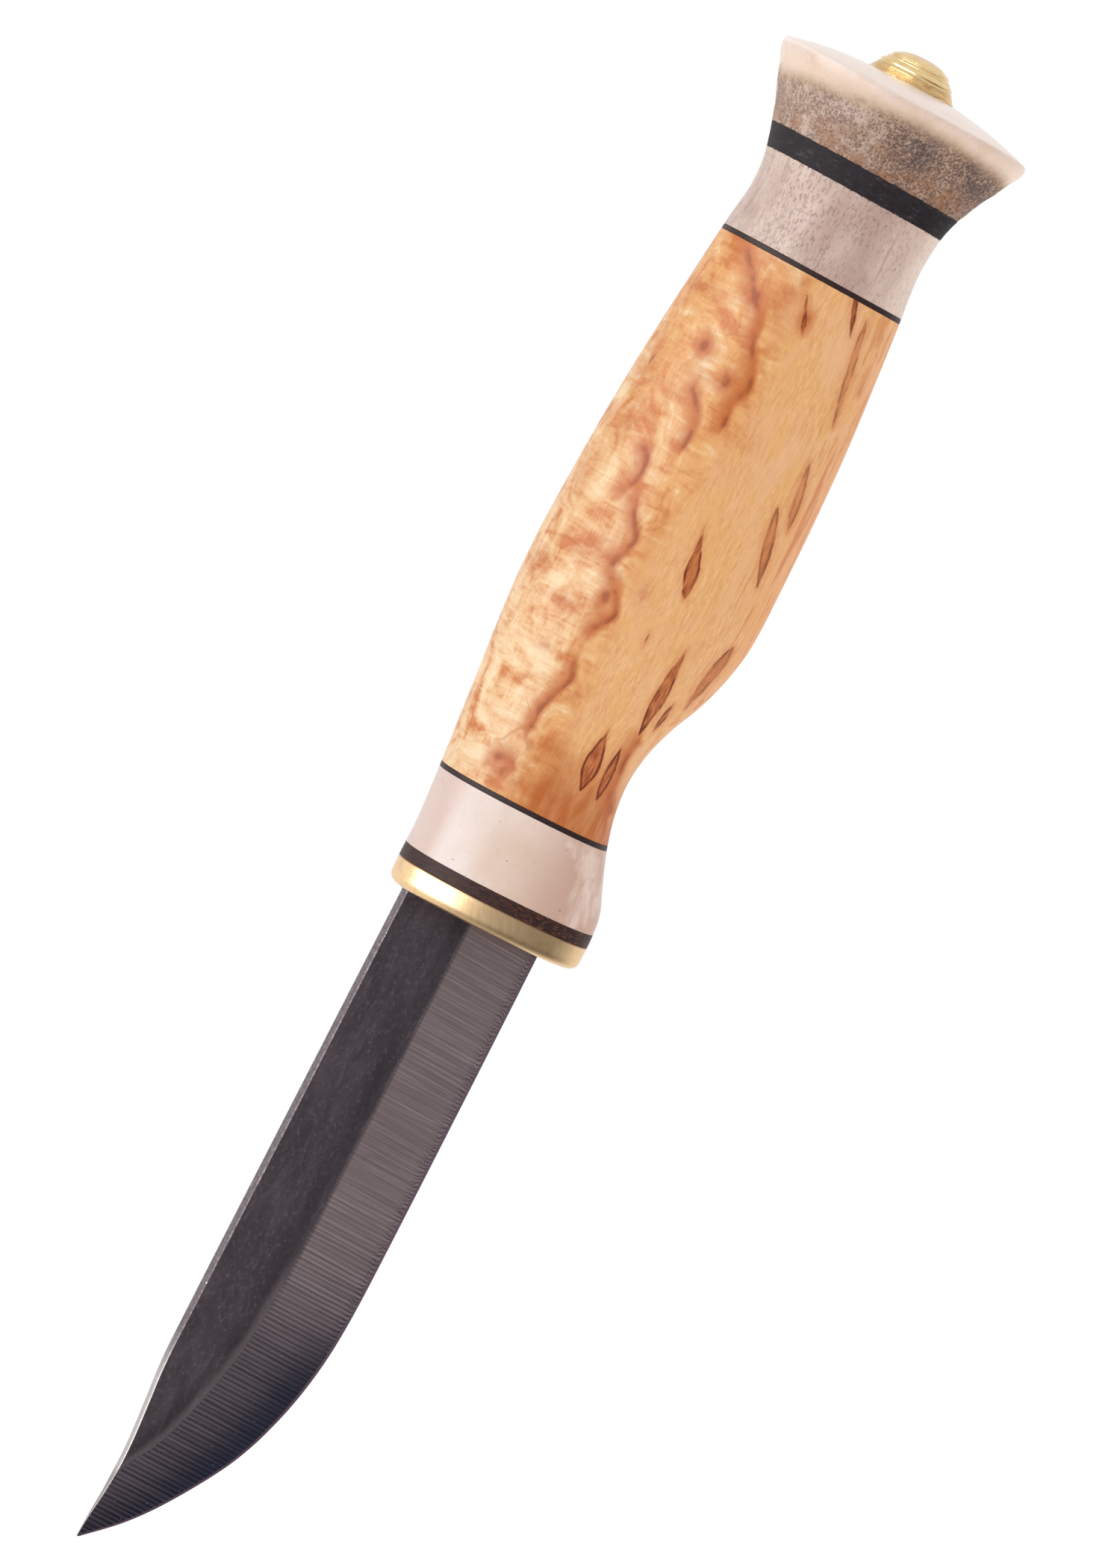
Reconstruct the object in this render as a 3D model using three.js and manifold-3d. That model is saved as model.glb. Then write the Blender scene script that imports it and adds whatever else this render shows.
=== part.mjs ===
// A Nordic belt knife (puukko) with a stick tang. The blade and its tang are one forging. A brass bolster,
// spacers, antler, curly birch, a flared antler pommel and a brass end cap are threaded onto the tang,
// whose round end is peened over the cap.
//
// Millimetres. +Z runs along the tang from the blade to the pommel, +X points to the cutting edge's side
// and -X to the back's side, and Y is the thickness. Every z below counts from the bolster's front face,
// and the group lifts the knife so that the origin is on the tang's axis, level with the blade's point.
import * as THREE from "three";
import { mergeVertices } from "three/addons/utils/BufferGeometryUtils.js";
import Module from "manifold-3d";

// Blade.
const BLADE_LENGTH = 85;
const BACK_X = -10; // the straight back
const EDGE_X = 8; // the straight part of the cutting edge
const RIDGE_X = -1.6; // where the flat meets the ground bevel
const FLAT_HALF = 1.4; // the flats are parallel
const EDGE_HALF = 0.06; // a ground edge is never quite sharp
const POINT_HALF = 0.12;
const RIDGE_MEETS_BACK = 76; // distance from the bolster
const DISTAL_TAPER_START = 45;
const DISTAL_TAPER = 0.3; // share of the thickness lost by the end of the ridge
const BLADE_STATIONS = 30;
const ROOT = { depth: 0.5, inset: 0.03, start: 0.15 }; // the blade's root is let into the bolster

// Tang: a flat taper, then a round end that is peened over the cap. Its front section is a little smaller
// than the blade's all round, so that the blade's shoulders seat in the bolster and hide the slot.
// Each point is [x, half thickness].
const TANG_FRONT = [[-6, 1.05], [RIDGE_X, 1.2], [4, 0.35]];
const TANG_REAR = [[-2.4, 1.0], [0, 1.1], [2.4, 0.9]];
const TANG_FLAT_END = 92;
const TANG_ROUND_START = 90;
const TANG_ROUND_RADIUS = 1.2;
const PEEN_RADIUS = 2.2;
const PEEN_DEPTH = 0.9;
const PEEN_DOME = 0.25;

// Handle stack, from the bolster's front face to the pommel's rim. Each length is one piece.
const BOLSTER = 3.1;
const FRONT_SPACER = 1.65;
const FRONT_ANTLER = 9.6;
const LINER = 0.6;
const BIRCH = 69.4;
const REAR_ANTLER = 10.2;
const REAR_SPACER = 2.8;
const POMMEL_RIM = 8.4; // from the rear spacer to the widest line of the pommel
const RIM_ROUND = { height: 1.7, inset: 1.5 }; // from the widest line to where the dome starts
const POMMEL_DOME = 2.6; // from the widest line to the seat of the washer
const DOME_BULGE = 0.9;
const BOND_LINE = 0.02; // the glue between two pieces
const LEAN_PER_MM = 0.0003; // the joints lean gradually off square towards the pommel
const BOLSTER_ROUND = 1.1; // the filed front edge of the bolster

// Openings for the tang.
const SLOT_CLEARANCE = 0.12;
const BEDDING = { centre: -0.9, halfWidth: 6, halfHeight: 2.6 };
const BEDDING_MARGIN = 0.3; // the bed stops short of the rear spacer
const ROUND_BORE = TANG_ROUND_RADIUS + 0.15;
const PAST_END = 2; // how far a cutter runs past the piece it cuts

// Brass end pieces.
const WASHER_RADIUS = 5.4;
const WASHER_HEIGHT = 1.15;
const CAP_RADIUS = 4.75;
const CAP_HEIGHT = 2.25;
const CAP_WALL = 0.3; // the cap's straight side, below its dome
const CAP_FLAT_RADIUS = 2.6;

const SIDES = 48; // points round the handle
const ROUND_SIDES = 40; // points round the turned brass
const SECTION_POWER = 2.25; // 2 is an ellipse, and more is boxier

const wasm = await Module();
wasm.setup();
const { clamp, degToRad, lerp, mapLinear, smoothstep } = THREE.MathUtils;

// ---------------------------------------------------------------- outlines

// A smooth line through [position, value] points, read at a given position.
function outline(points) {
  const curve = new THREE.SplineCurve(points.map(([at, value]) => new THREE.Vector2(at, value)));
  const samples = curve.getPoints(points.length * 24);
  return (at) => {
    const inner = samples.slice(1, -1).findIndex((p) => p.x >= at);
    const next = inner < 0 ? samples.length - 1 : inner + 1;
    const [a, b] = [samples[next - 1], samples[next]];
    return mapLinear(at, a.x, b.x, a.y, b.y);
  };
}

// Half widths of the handle towards the back and towards the belly, and its half thickness, along z.
const handleBack = outline([
  [-2, 12.0], [3, 12.2], [9, 12.3], [22, 13.45], [38, 14.8], [50, 14.75], [66, 13.85], [84, 12.05],
  [91.5, 11.2], [97.5, 12.3], [106.2, 15.5], [109, 16.4],
]);
const handleBelly = outline([
  [-2, 12.3], [3, 12.35], [7, 11.95], [11, 10.35], [15.5, 8.7], [21.5, 7.5], [28, 8.4], [35, 11.35],
  [42, 13.15], [52, 13.3], [68, 12.75], [84, 11.4], [90.5, 10.8], [97.5, 11.75], [106.2, 16.2], [109, 17.5],
]);
const handleHalf = outline([
  [-2, 8.9], [5, 9.1], [14, 8.9], [24, 9.3], [38, 10.9], [50, 11.3], [66, 10.9], [84, 9.8],
  [91.5, 9.5], [97.5, 10.2], [106.2, 13.0], [109, 13.9],
]);

// Edge, back and ridge lines of the blade: x at a distance from the bolster towards the point.
const edgeLine = outline([
  [-1, EDGE_X - 0.15], [14, EDGE_X - 0.05], [36, EDGE_X], [48, EDGE_X - 0.1], [55, EDGE_X - 0.65],
  [62, EDGE_X - 2.1], [69, EDGE_X - 4.7], [76, EDGE_X - 9.0], [81, EDGE_X - 13.0],
  [BLADE_LENGTH, EDGE_X - 17.4],
]);
const backLine = outline([
  [-1, BACK_X], [30, BACK_X], [58, BACK_X], [62, BACK_X + 0.02], [67, BACK_X + 0.42], [73, BACK_X + 0.85],
  [78, BACK_X + 0.8], [82, BACK_X + 0.5], [BLADE_LENGTH, BACK_X + 0.35],
]);
const ridgeLine = outline([
  [-1, RIDGE_X], [25, RIDGE_X], [46, RIDGE_X - 0.05], [54, RIDGE_X - 0.4], [60, RIDGE_X - 1.3],
  [66, RIDGE_X - 2.8], [71, RIDGE_X - 4.6], [RIDGE_MEETS_BACK, BACK_X + 0.9],
]);

// Where each piece of the handle stack starts and ends.
const STACK = {};
[
  ["front_bolster", BOLSTER],
  ["front_spacer", FRONT_SPACER],
  ["front_antler", FRONT_ANTLER],
  ["front_liner", LINER],
  ["birch_grip", BIRCH],
  ["rear_liner", LINER],
  ["rear_antler", REAR_ANTLER],
  ["rear_spacer", REAR_SPACER],
  ["antler_pommel", POMMEL_RIM],
].reduce((start, [name, length]) => {
  STACK[name] = { start, end: start + length };
  return start + length;
}, 0);
const RIM_Z = STACK.antler_pommel.end;
const SEAT_Z = RIM_Z + POMMEL_DOME;
const WASHER_Z = SEAT_Z + BOND_LINE;
const CAP_Z = WASHER_Z + WASHER_HEIGHT + BOND_LINE;
const CAP_TOP_Z = CAP_Z + CAP_HEIGHT;

// ---------------------------------------------------------------- solids

function solid(geometry) {
  const bare = new THREE.BufferGeometry().setAttribute("position", geometry.getAttribute("position"));
  const merged = mergeVertices(bare.setIndex(geometry.index), 1e-4);
  const made = new wasm.Manifold(
    new wasm.Mesh({
      numProp: 3,
      vertProperties: new Float32Array(merged.attributes.position.array),
      triVerts: new Uint32Array(merged.index.array),
    }),
  );
  if (made.volume() <= 0) throw new Error("a solid is inside out");
  return made;
}

// Joins rings of points, all of the same count, into one closed solid with a fan over each end.
function loft(rings) {
  const n = rings[0].length;
  const middle = (ring) => ring.reduce((sum, p) => sum.add(p), new THREE.Vector3()).divideScalar(n);
  const points = [...rings.flat(), middle(rings[0]), middle(rings.at(-1))];
  const faces = [];
  const last = (rings.length - 1) * n;
  for (let i = 0; i < n; i++) {
    const j = (i + 1) % n;
    for (let row = 0; row < last; row += n) {
      faces.push(row + i, row + j, row + j + n, row + i, row + j + n, row + i + n);
    }
    faces.push(last + n, j, i, last + n + 1, last + i, last + j);
  }
  return solid(new THREE.BufferGeometry().setFromPoints(points).setIndex(faces));
}

// A turned solid about +Z, from [radius, z] points that run from the axis round to the axis.
function turned(profile) {
  const points = profile.map(([radius, z]) => new THREE.Vector2(radius, z));
  return solid(new THREE.LatheGeometry(points, ROUND_SIDES).rotateX(Math.PI / 2));
}

function geometryOf(made) {
  const mesh = made.getMesh();
  return new THREE.BufferGeometry()
    .setAttribute("position", new THREE.BufferAttribute(mesh.vertProperties, mesh.numProp))
    .setIndex(new THREE.BufferAttribute(mesh.triVerts, 1));
}

// ---------------------------------------------------------------- blade and tang

// A six-sided section at z, from its back, ridge and belly points. grow pushes it out.
function wedgeRing([back, ridge, belly], z, grow = 0) {
  const side = [
    [back[0] - grow, back[1] + grow],
    [ridge[0], ridge[1] + grow],
    [belly[0] + grow, belly[1] + grow],
  ];
  const near = side.map(([x, half]) => new THREE.Vector3(x, -half, z));
  const far = side.map(([x, half]) => new THREE.Vector3(x, half, z)).reverse();
  return [...near, ...far];
}

function bladeRing(distance) {
  const back = backLine(distance);
  const edge = Math.max(edgeLine(distance), back + 0.25);
  const ridge = clamp(ridgeLine(Math.min(distance, RIDGE_MEETS_BACK)), back + 0.05, edge - 0.1);
  const pastRidge = Math.max(0, (distance - RIDGE_MEETS_BACK) / (BLADE_LENGTH - RIDGE_MEETS_BACK));
  const taper = 1 - DISTAL_TAPER * smoothstep(distance, DISTAL_TAPER_START, RIDGE_MEETS_BACK);
  const thin = taper * (1 - pastRidge ** 1.1);
  const half = Math.max(FLAT_HALF * thin, POINT_HALF);
  const ridgeX = pastRidge > 0 ? back + 0.05 : ridge;
  return wedgeRing([[back, half], [ridgeX, half], [edge, EDGE_HALF]], -distance);
}

// The blade's section where it meets the bolster, grown or, below zero, shrunk.
function rootRing(z, grow) {
  return wedgeRing([[backLine(0), FLAT_HALF], [ridgeLine(0), FLAT_HALF], [edgeLine(0), EDGE_HALF]], z, grow);
}

function tangRing(z, grow = 0) {
  const share = z / TANG_FLAT_END;
  const section = TANG_FRONT.map((point, i) => point.map((value, k) => lerp(value, TANG_REAR[i][k], share)));
  return wedgeRing(section, z, grow);
}

// The tang's round end, with its peened head in the cap's countersink.
function tangEnd() {
  const top = CAP_TOP_Z;
  return turned([
    [0, TANG_ROUND_START], [TANG_ROUND_RADIUS, TANG_ROUND_START], [TANG_ROUND_RADIUS, top - PEEN_DEPTH],
    [PEEN_RADIUS, top], [PEEN_RADIUS * 0.6, top + PEEN_DOME * 0.75], [0, top + PEEN_DOME],
  ]);
}

// The stations bunch up towards the point, where the outline curves.
function bladeAndTang() {
  const blade = Array.from({ length: BLADE_STATIONS + 1 }, (_, i) => {
    const share = Math.cos((i / BLADE_STATIONS) * (Math.PI / 2)) ** 1.15;
    return bladeRing(lerp(ROOT.start, BLADE_LENGTH, share));
  });
  const shoulder = ROOT.depth - BOND_LINE;
  const root = [-ROOT.start / 2, shoulder].map((z) => rootRing(z, -ROOT.inset));
  return loft([...blade, ...root, tangRing(shoulder), tangRing(TANG_FLAT_END)]).add(tangEnd());
}

// ---------------------------------------------------------------- room for the tang

// The slot in the bolster and the front spacer lets the tang's largest section through, and its mouth in the
// bolster's front face takes the blade's root.
function tightSlot() {
  const ends = [-PAST_END, STACK.front_spacer.end + PAST_END];
  const mouth = loft([-PAST_END, ROOT.depth].map((z) => rootRing(z, ROOT.inset)));
  return loft(ends.map((z) => wedgeRing(TANG_FRONT, z, SLOT_CLEARANCE))).add(mouth);
}

function taperedRoom() {
  return loft([tangRing(0, SLOT_CLEARANCE), tangRing(TANG_FLAT_END + SLOT_CLEARANCE, SLOT_CLEARANCE)]);
}

// The room for the tang's round end and its peened head.
function roundBore() {
  const [low, high] = [TANG_ROUND_START - SLOT_CLEARANCE, CAP_TOP_Z + PAST_END];
  const sink = CAP_TOP_Z - PEEN_DEPTH - BOND_LINE;
  const mouth = PEEN_RADIUS + 2 * BOND_LINE;
  return turned([
    [0, low], [ROUND_BORE, low], [ROUND_BORE, sink], [mouth, CAP_TOP_Z], [mouth, high], [0, high],
  ]);
}

// The drilled slot, with round ends, that the adhesive bed fills.
function bedSlot(start, end, inset = 0) {
  const flat = BEDDING.halfWidth - BEDDING.halfHeight;
  const radius = BEDDING.halfHeight - inset;
  const shape = new THREE.Shape();
  shape.absarc(BEDDING.centre + flat, 0, radius, -Math.PI / 2, Math.PI / 2);
  shape.absarc(BEDDING.centre - flat, 0, radius, Math.PI / 2, (3 * Math.PI) / 2);
  shape.closePath();
  const bar = new THREE.ExtrudeGeometry(shape, { depth: end - start, bevelEnabled: false, curveSegments: 8 });
  return solid(bar.translate(0, 0, start));
}

const SLOT = tightSlot();
const BORE = roundBore();
const BED_HOLE = bedSlot(STACK.front_spacer.end - PAST_END, STACK.rear_spacer.start + PAST_END);

// ---------------------------------------------------------------- handle

// One ring round the handle at z. inset pulls it in, and shape reads the outline at another z.
function handleRing(z, inset = 0, shape = z, lean = LEAN_PER_MM * z) {
  const [back, belly, half] = [handleBack, handleBelly, handleHalf].map((side) => side(shape) - inset);
  const boxy = (wave) => Math.sign(wave) * Math.abs(wave) ** (2 / SECTION_POWER);
  return Array.from({ length: SIDES }, (_, i) => {
    const angle = (i / SIDES) * 2 * Math.PI;
    const x = boxy(Math.cos(angle)) * (Math.cos(angle) > 0 ? belly : back);
    return new THREE.Vector3(x, boxy(Math.sin(angle)) * half, z - x * lean);
  });
}

function handleSlice(name, step) {
  const [low, high] = [STACK[name].start + BOND_LINE / 2, STACK[name].end - BOND_LINE / 2];
  const count = Math.max(1, Math.round((high - low) / step));
  return loft(Array.from({ length: count + 1 }, (_, i) => handleRing(lerp(low, high, i / count))));
}

// The bolster's front face is square to the tang, and its front edge is filed round.
function frontBolster() {
  const round = [90, 60, 30, 0].map((degrees) => {
    const angle = degToRad(degrees);
    const [z, inset] = [1 - Math.sin(angle), 1 - Math.cos(angle)].map((share) => share * BOLSTER_ROUND);
    return handleRing(z, inset, BOLSTER_ROUND, 0);
  });
  return loft([...round, handleRing(BOLSTER - BOND_LINE / 2)]).subtract(SLOT);
}

// The pommel flares to its rim, rounds over, and domes up to a flat seat for the washer.
function antlerPommel() {
  const low = STACK.antler_pommel.start + BOND_LINE / 2;
  const flare = [0, 0.2, 0.4, 0.6, 0.8, 1].map((share) => handleRing(lerp(low, RIM_Z - 0.4, share)));
  const shoulder = [0.1, 0.5, 0.8, 1].map((share) =>
    handleRing(RIM_Z + share * RIM_ROUND.height, share ** 2 * RIM_ROUND.inset, RIM_Z),
  );
  const seat = Array.from({ length: SIDES }, (_, i) => {
    const angle = (i / SIDES) * 2 * Math.PI;
    return new THREE.Vector3(WASHER_RADIUS * Math.cos(angle), WASHER_RADIUS * Math.sin(angle), SEAT_Z);
  });
  const dome = [0.35, 0.7].map((share) => {
    const lift = new THREE.Vector3(0, 0, share * (1 - share) * DOME_BULGE);
    return shoulder.at(-1).map((p, i) => p.clone().lerp(seat[i], share).add(lift));
  });
  return loft([...flare, ...shoulder, ...dome, seat]).subtract(BORE);
}

// The adhesive bed fills the drilled slot from the front antler to the rear antler, around the tang.
function tangBedding() {
  const [low, high] = [STACK.front_antler.start + BOND_LINE, STACK.rear_antler.end - BEDDING_MARGIN];
  return bedSlot(low, high, BOND_LINE).subtract(taperedRoom()).subtract(BORE);
}

// ---------------------------------------------------------------- brass end pieces

function endWasher() {
  const side = [[0, 0], [0.12, 0.5], [0.35, 0.85], [0.6, 1]].map(([inset, share]) => [
    WASHER_RADIUS - inset,
    WASHER_Z + share * WASHER_HEIGHT,
  ]);
  return turned([[0, WASHER_Z], ...side, [0, WASHER_Z + WASHER_HEIGHT]]).subtract(BORE);
}

function endCap() {
  const dome = [0, 20, 40, 60, 80, 90].map((degrees) => {
    const angle = degToRad(degrees);
    const radius = lerp(CAP_FLAT_RADIUS, CAP_RADIUS, Math.cos(angle));
    return [radius, CAP_Z + CAP_WALL + (CAP_HEIGHT - CAP_WALL) * Math.sin(angle)];
  });
  return turned([[0, CAP_Z], [CAP_RADIUS, CAP_Z], ...dome, [0, CAP_TOP_Z]]).subtract(BORE);
}

// ---------------------------------------------------------------- assembly

const STEEL = { color: 0x3a3638, roughness: 0.38, metalness: 0.9 };
const BRASS = { color: 0xc9a55a, roughness: 0.25, metalness: 1.0 };
const BLACK = { color: 0x2a2628, roughness: 0.6, metalness: 0.0 };
const BROWN = { color: 0x33231f, roughness: 0.5, metalness: 0.0 };
const ANTLER = { color: 0xe2d3ca, roughness: 0.3, metalness: 0.0 };
const PORED_ANTLER = { color: 0xcdb9ae, roughness: 0.35, metalness: 0.0 };
const BARK_ANTLER = { color: 0xa08873, roughness: 0.6, metalness: 0.0 };
const CURLY_BIRCH = { color: 0xdb9f5c, roughness: 0.35, metalness: 0.0 };
const ADHESIVE = { color: 0xb89a5a, roughness: 0.4, metalness: 0.0 };

const PIECES = {
  blade: [STEEL, bladeAndTang()],
  front_bolster: [BRASS, frontBolster()],
  front_spacer: [BROWN, handleSlice("front_spacer", 2).subtract(SLOT)],
  front_antler: [ANTLER, handleSlice("front_antler", 1.6).subtract(BED_HOLE)],
  front_liner: [BLACK, handleSlice("front_liner", 1).subtract(BED_HOLE)],
  birch_grip: [CURLY_BIRCH, handleSlice("birch_grip", 3.8).subtract(BED_HOLE)],
  rear_liner: [BLACK, handleSlice("rear_liner", 1).subtract(BED_HOLE)],
  rear_antler: [PORED_ANTLER, handleSlice("rear_antler", 2.5).subtract(BED_HOLE)],
  rear_spacer: [BLACK, handleSlice("rear_spacer", 1.4).subtract(BORE)],
  antler_pommel: [BARK_ANTLER, antlerPommel()],
  end_washer: [BRASS, endWasher()],
  end_cap: [BRASS, endCap()],
  tang_bedding: [ADHESIVE, tangBedding()],
};

const knife = new THREE.Group();
knife.position.z = BLADE_LENGTH;
for (const [name, [look, made]] of Object.entries(PIECES)) {
  const mesh = new THREE.Mesh(geometryOf(made), new THREE.MeshStandardMaterial(look));
  mesh.name = name;
  knife.add(mesh);
}

export default knife;
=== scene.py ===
"""A Nordic belt knife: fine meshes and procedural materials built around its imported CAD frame."""

import itertools
import math

import bpy
import numpy as np
from mathutils import Matrix, Vector


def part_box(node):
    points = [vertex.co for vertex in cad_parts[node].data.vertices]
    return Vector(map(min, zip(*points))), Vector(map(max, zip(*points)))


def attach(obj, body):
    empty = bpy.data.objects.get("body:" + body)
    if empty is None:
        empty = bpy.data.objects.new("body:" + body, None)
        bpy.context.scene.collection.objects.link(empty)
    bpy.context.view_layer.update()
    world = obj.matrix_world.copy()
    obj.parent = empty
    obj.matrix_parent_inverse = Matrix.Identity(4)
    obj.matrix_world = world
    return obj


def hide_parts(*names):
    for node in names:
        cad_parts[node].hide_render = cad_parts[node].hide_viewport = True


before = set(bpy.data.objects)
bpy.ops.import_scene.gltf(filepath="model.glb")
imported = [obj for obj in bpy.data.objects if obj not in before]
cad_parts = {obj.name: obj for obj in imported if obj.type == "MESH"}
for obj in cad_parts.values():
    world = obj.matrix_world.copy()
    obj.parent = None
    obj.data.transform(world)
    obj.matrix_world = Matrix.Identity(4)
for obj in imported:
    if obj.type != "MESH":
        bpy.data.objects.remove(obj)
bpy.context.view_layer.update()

# Sizes are in mm. Heights count from the bolster's front face, upwards to the pommel.
MM = 0.001
FACE_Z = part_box("front_bolster")[0].z / MM
LEAN_PER_MM = 0.0003  # the joints lean off square towards the pommel
SECTION_POWER = 2.25  # of the handle's rounded section; 2 is an ellipse
BORE_POWER = 7  # of the tang slot's nearly square section
HANDLE = (
    "front_bolster", "front_spacer", "front_antler", "front_liner", "birch_grip",
    "rear_liner", "rear_antler", "rear_spacer", "antler_pommel",
)
AROUND = 540  # points round each handle piece
TURNS = np.linspace(0, 2 * math.pi, AROUND, endpoint=False)
JOINT_ROUNDING = 0.05  # the tiny round-over where two handle pieces meet
BOLSTER_ROUND = 1.1
RIM = (  # the pommel's shoulder: height above its widest line, and inset
    (0, 0), (0.3, 0.02), (0.55, 0.07), (0.72, 0.17), (0.83, 0.34), (0.95, 0.8), (1.15, 1.5),
)
DOME_BULGE = 0.9
BEDDING_SLOT = {"centre": -0.9, "half_width": 6.0, "half_height": 2.6}
TANG_FRONT = ((-6.0, 1.05), (-1.6, 1.2), (4.0, 0.35))  # x and half thickness at the bolster
TANG_REAR = ((-2.4, 1.0), (0.0, 1.1), (2.4, 0.9))
TANG_START, TANG_REAR_Z, TANG_ROUND_Z = 0.47, 90.0, 92.0
TANG_RADIUS, TANG_CLEARANCE = 1.2, 0.12
ROUND_BORE = TANG_RADIUS + 0.15
ROOT_DEPTH, ROOT_CLEARANCE = 0.5, 0.03  # the blade's root is let into the bolster
HEAD_RADIUS = 2.2
SPINE_CHAMFER = 0.14
EDGE_BEVEL_WIDTH, EDGE_BEVEL_HALF = 0.4, 0.02
NARROWEST_BEVEL = 0.2
DETAIL_WIDTH = 12.0  # where the blade is narrower, its chamfer and edge bevel shrink with it
RIDGE_CRISP, RIDGE_SOFTENING = 0.006, 0.05  # the ridge is softer towards the point
SOFTENS_FROM, SOFTENS_OVER = 42, 18  # distances from the bolster
FAR_FROM_EDGE = 5.0  # what the hidden tang stores as its distance from ridge and edge
SURFACE = ((1.0, 0.9, 0), (0.6, 0.35, 1))  # uneven surfaces: height, width of the bumps, seed
FORGED = ((0.012, 5, 0), (0.005, 1.3, 2))
BARK_LUMPS = ((0.07, 1.9, 0), (0.05, 0.8, 3))
BARK_PITS = ((1.0, 0.55, 4),)
WASHER = (  # radius, and share of the height
    (5.4, 0), (5.4, 0.25), (5.24, 0.42), (5.1, 0.6), (5.0, 0.7), (4.86, 0.88), (4.78, 1.0),
)
CAP = (
    (4.72, 0), (4.62, 0.1), (4.5, 0.26), (4.14, 0.38), (3.95, 0.5), (3.66, 0.58), (3.6, 0.7), (3.25, 0.8),
    (2.8, 0.91), (2.34, 1.0),
)
WASHER_BORE = ((ROUND_BORE, 1), (ROUND_BORE, 0))
CAP_BORE = ((2.24, 1), (ROUND_BORE, 0.6), (ROUND_BORE, 0))
RING_TOLERANCE = 0.07  # how far a CAD point may lie from its ring's level
RING_SPACING = 0.35  # CAD rings nearer than this to the one below are passed over
CAMERA = {"azimuth": -14.5, "elevation": 3.5, "roll": 27.18, "distance": 1056, "lens": 208.7}
CAMERA_AIM = Vector((0.8, 0, 18.7 + FACE_Z))
SEED = 7


# ---- the frame's outlines

def frame_points(node):
    """A CAD node's points in mm, with heights from the bolster's front face."""
    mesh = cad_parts[node].data
    points = np.empty(len(mesh.vertices) * 3)
    mesh.vertices.foreach_get("co", points)
    return points.reshape(-1, 3) / MM - (0, 0, FACE_Z)


def smooth_curve(at, values):
    """A smooth function through values given at rising positions."""
    slopes = np.gradient(values, at)

    def read(x):
        x = np.clip(x, at[0], at[-1])
        i = np.clip(np.searchsorted(at, x, side="right") - 1, 0, len(at) - 2)
        step = at[i + 1] - at[i]
        t = (x - at[i]) / step
        rise = values[i + 1] - values[i]
        start, end = slopes[i] * step, slopes[i + 1] * step
        bend = 3 * rise - 2 * start - end
        twist = start + end - 2 * rise
        return values[i] + t * (start + t * (bend + t * twist))

    return read


def ring_level(points):
    """The height at which each point's leaning ring passes the tang's axis."""
    return points[:, 2] / (1 - LEAN_PER_MM * points[:, 0])


def read_handle():
    """The handle's reach to the back, to the belly and across, and the height of its widest ring."""
    points = np.vstack([frame_points(node) for node in HANDLE])
    levels = ring_level(points)
    rows = []
    for level in np.unique(np.round(levels, 1)):
        ring = points[np.abs(levels - level) < RING_TOLERANCE]
        rows.append((level, -ring[:, 0].min(), ring[:, 0].max(), ring[:, 1].max()))
    rows = np.array([row for row in rows if row[0] > BOLSTER_ROUND - 0.05])
    rows = rows[: int(np.argmax(rows[:, 2])) + 1]
    level, *reaches = rows[np.r_[True, np.diff(rows[:, 0]) > RING_SPACING]].T
    return [smooth_curve(level, reach) for reach in reaches] + [rows[-1, 0]]


def read_blade():
    """The blade's back, ridge, edge and half thickness by distance from the bolster, and its length."""
    points = frame_points("blade")
    points = points[points[:, 2] < -0.1]
    rows = []
    for level in np.unique(np.round(points[:, 2], 2)):
        ring = points[(np.abs(points[:, 2] - level) < 0.02) & (points[:, 1] < 0)]
        back, ridge, edge = np.unique(np.round(ring[:, 0], 2))[[0, -2, -1]]
        rows.append((-level, back, ridge, edge, -ring[:, 1].min()))
    distance, *columns = np.array(rows)[::-1].T
    return [smooth_curve(distance, column) for column in columns] + [distance[-1]]


BACK, BELLY, HALF, RIM_Z = read_handle()
BLADE_BACK, BLADE_RIDGE, BLADE_EDGE, BLADE_HALF, BLADE_LENGTH = read_blade()
SPACER_LEVELS = ring_level(frame_points("rear_spacer"))
SPACER_LOW, SPACER_HIGH = SPACER_LEVELS.min(), SPACER_LEVELS.max()
SEAT_Z = ring_level(frame_points("antler_pommel")).max()
CAP_TOP_Z = frame_points("end_cap")[:, 2].max()
TIP_Z = frame_points("blade")[:, 2].max()


# ---- mesh making

def lattice_noise(points, size, seed):
    """Smooth noise from -1 to 1, with bumps about size mm wide."""
    cell = np.floor(points / size).astype(np.int64)
    share = points / size - cell
    share = share * share * (3 - 2 * share)
    total = np.zeros(len(points))
    for corner in itertools.product((0, 1), repeat=3):
        key = (cell + corner) @ np.array((73856093, 19349663, 83492791)) + seed * 2654435761
        key = (key ^ (key >> 13)) * 1274126177 & 0xFFFFFFFF
        value = (key ^ (key >> 16)) / 0x7FFFFFFF - 1
        total += value * np.prod(np.where(corner, share, 1 - share), axis=1)
    return total


def relief(points, layers):
    """Bumps of several sizes; each layer gives their height, their width and a seed."""
    return sum(height * lattice_noise(points, width, SEED + seed) for height, width, seed in layers)


def push_out(ring, rise):
    """Moves each point of a ring outwards by its own rise."""
    outward = ring[:, :2] / np.linalg.norm(ring[:, :2], axis=1, keepdims=True)
    ring[:, :2] += outward * rise[:, None]


def raised(wave, power):
    return np.sign(wave) * np.abs(wave) ** (2 / power)


def handle_ring(level, inset=0.0, shape=None, lean=None):
    """One ring round the handle; inset pulls it in, and shape reads the outline at another height."""
    shape = level if shape is None else shape
    lean = LEAN_PER_MM * level if lean is None else lean
    c, s = np.cos(TURNS), np.sin(TURNS)
    x = raised(c, SECTION_POWER) * (np.where(c > 0, BELLY(shape), BACK(shape)) - inset)
    y = raised(s, SECTION_POWER) * (HALF(shape) - inset)
    return np.stack([x, y, level - lean * x], 1)


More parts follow.
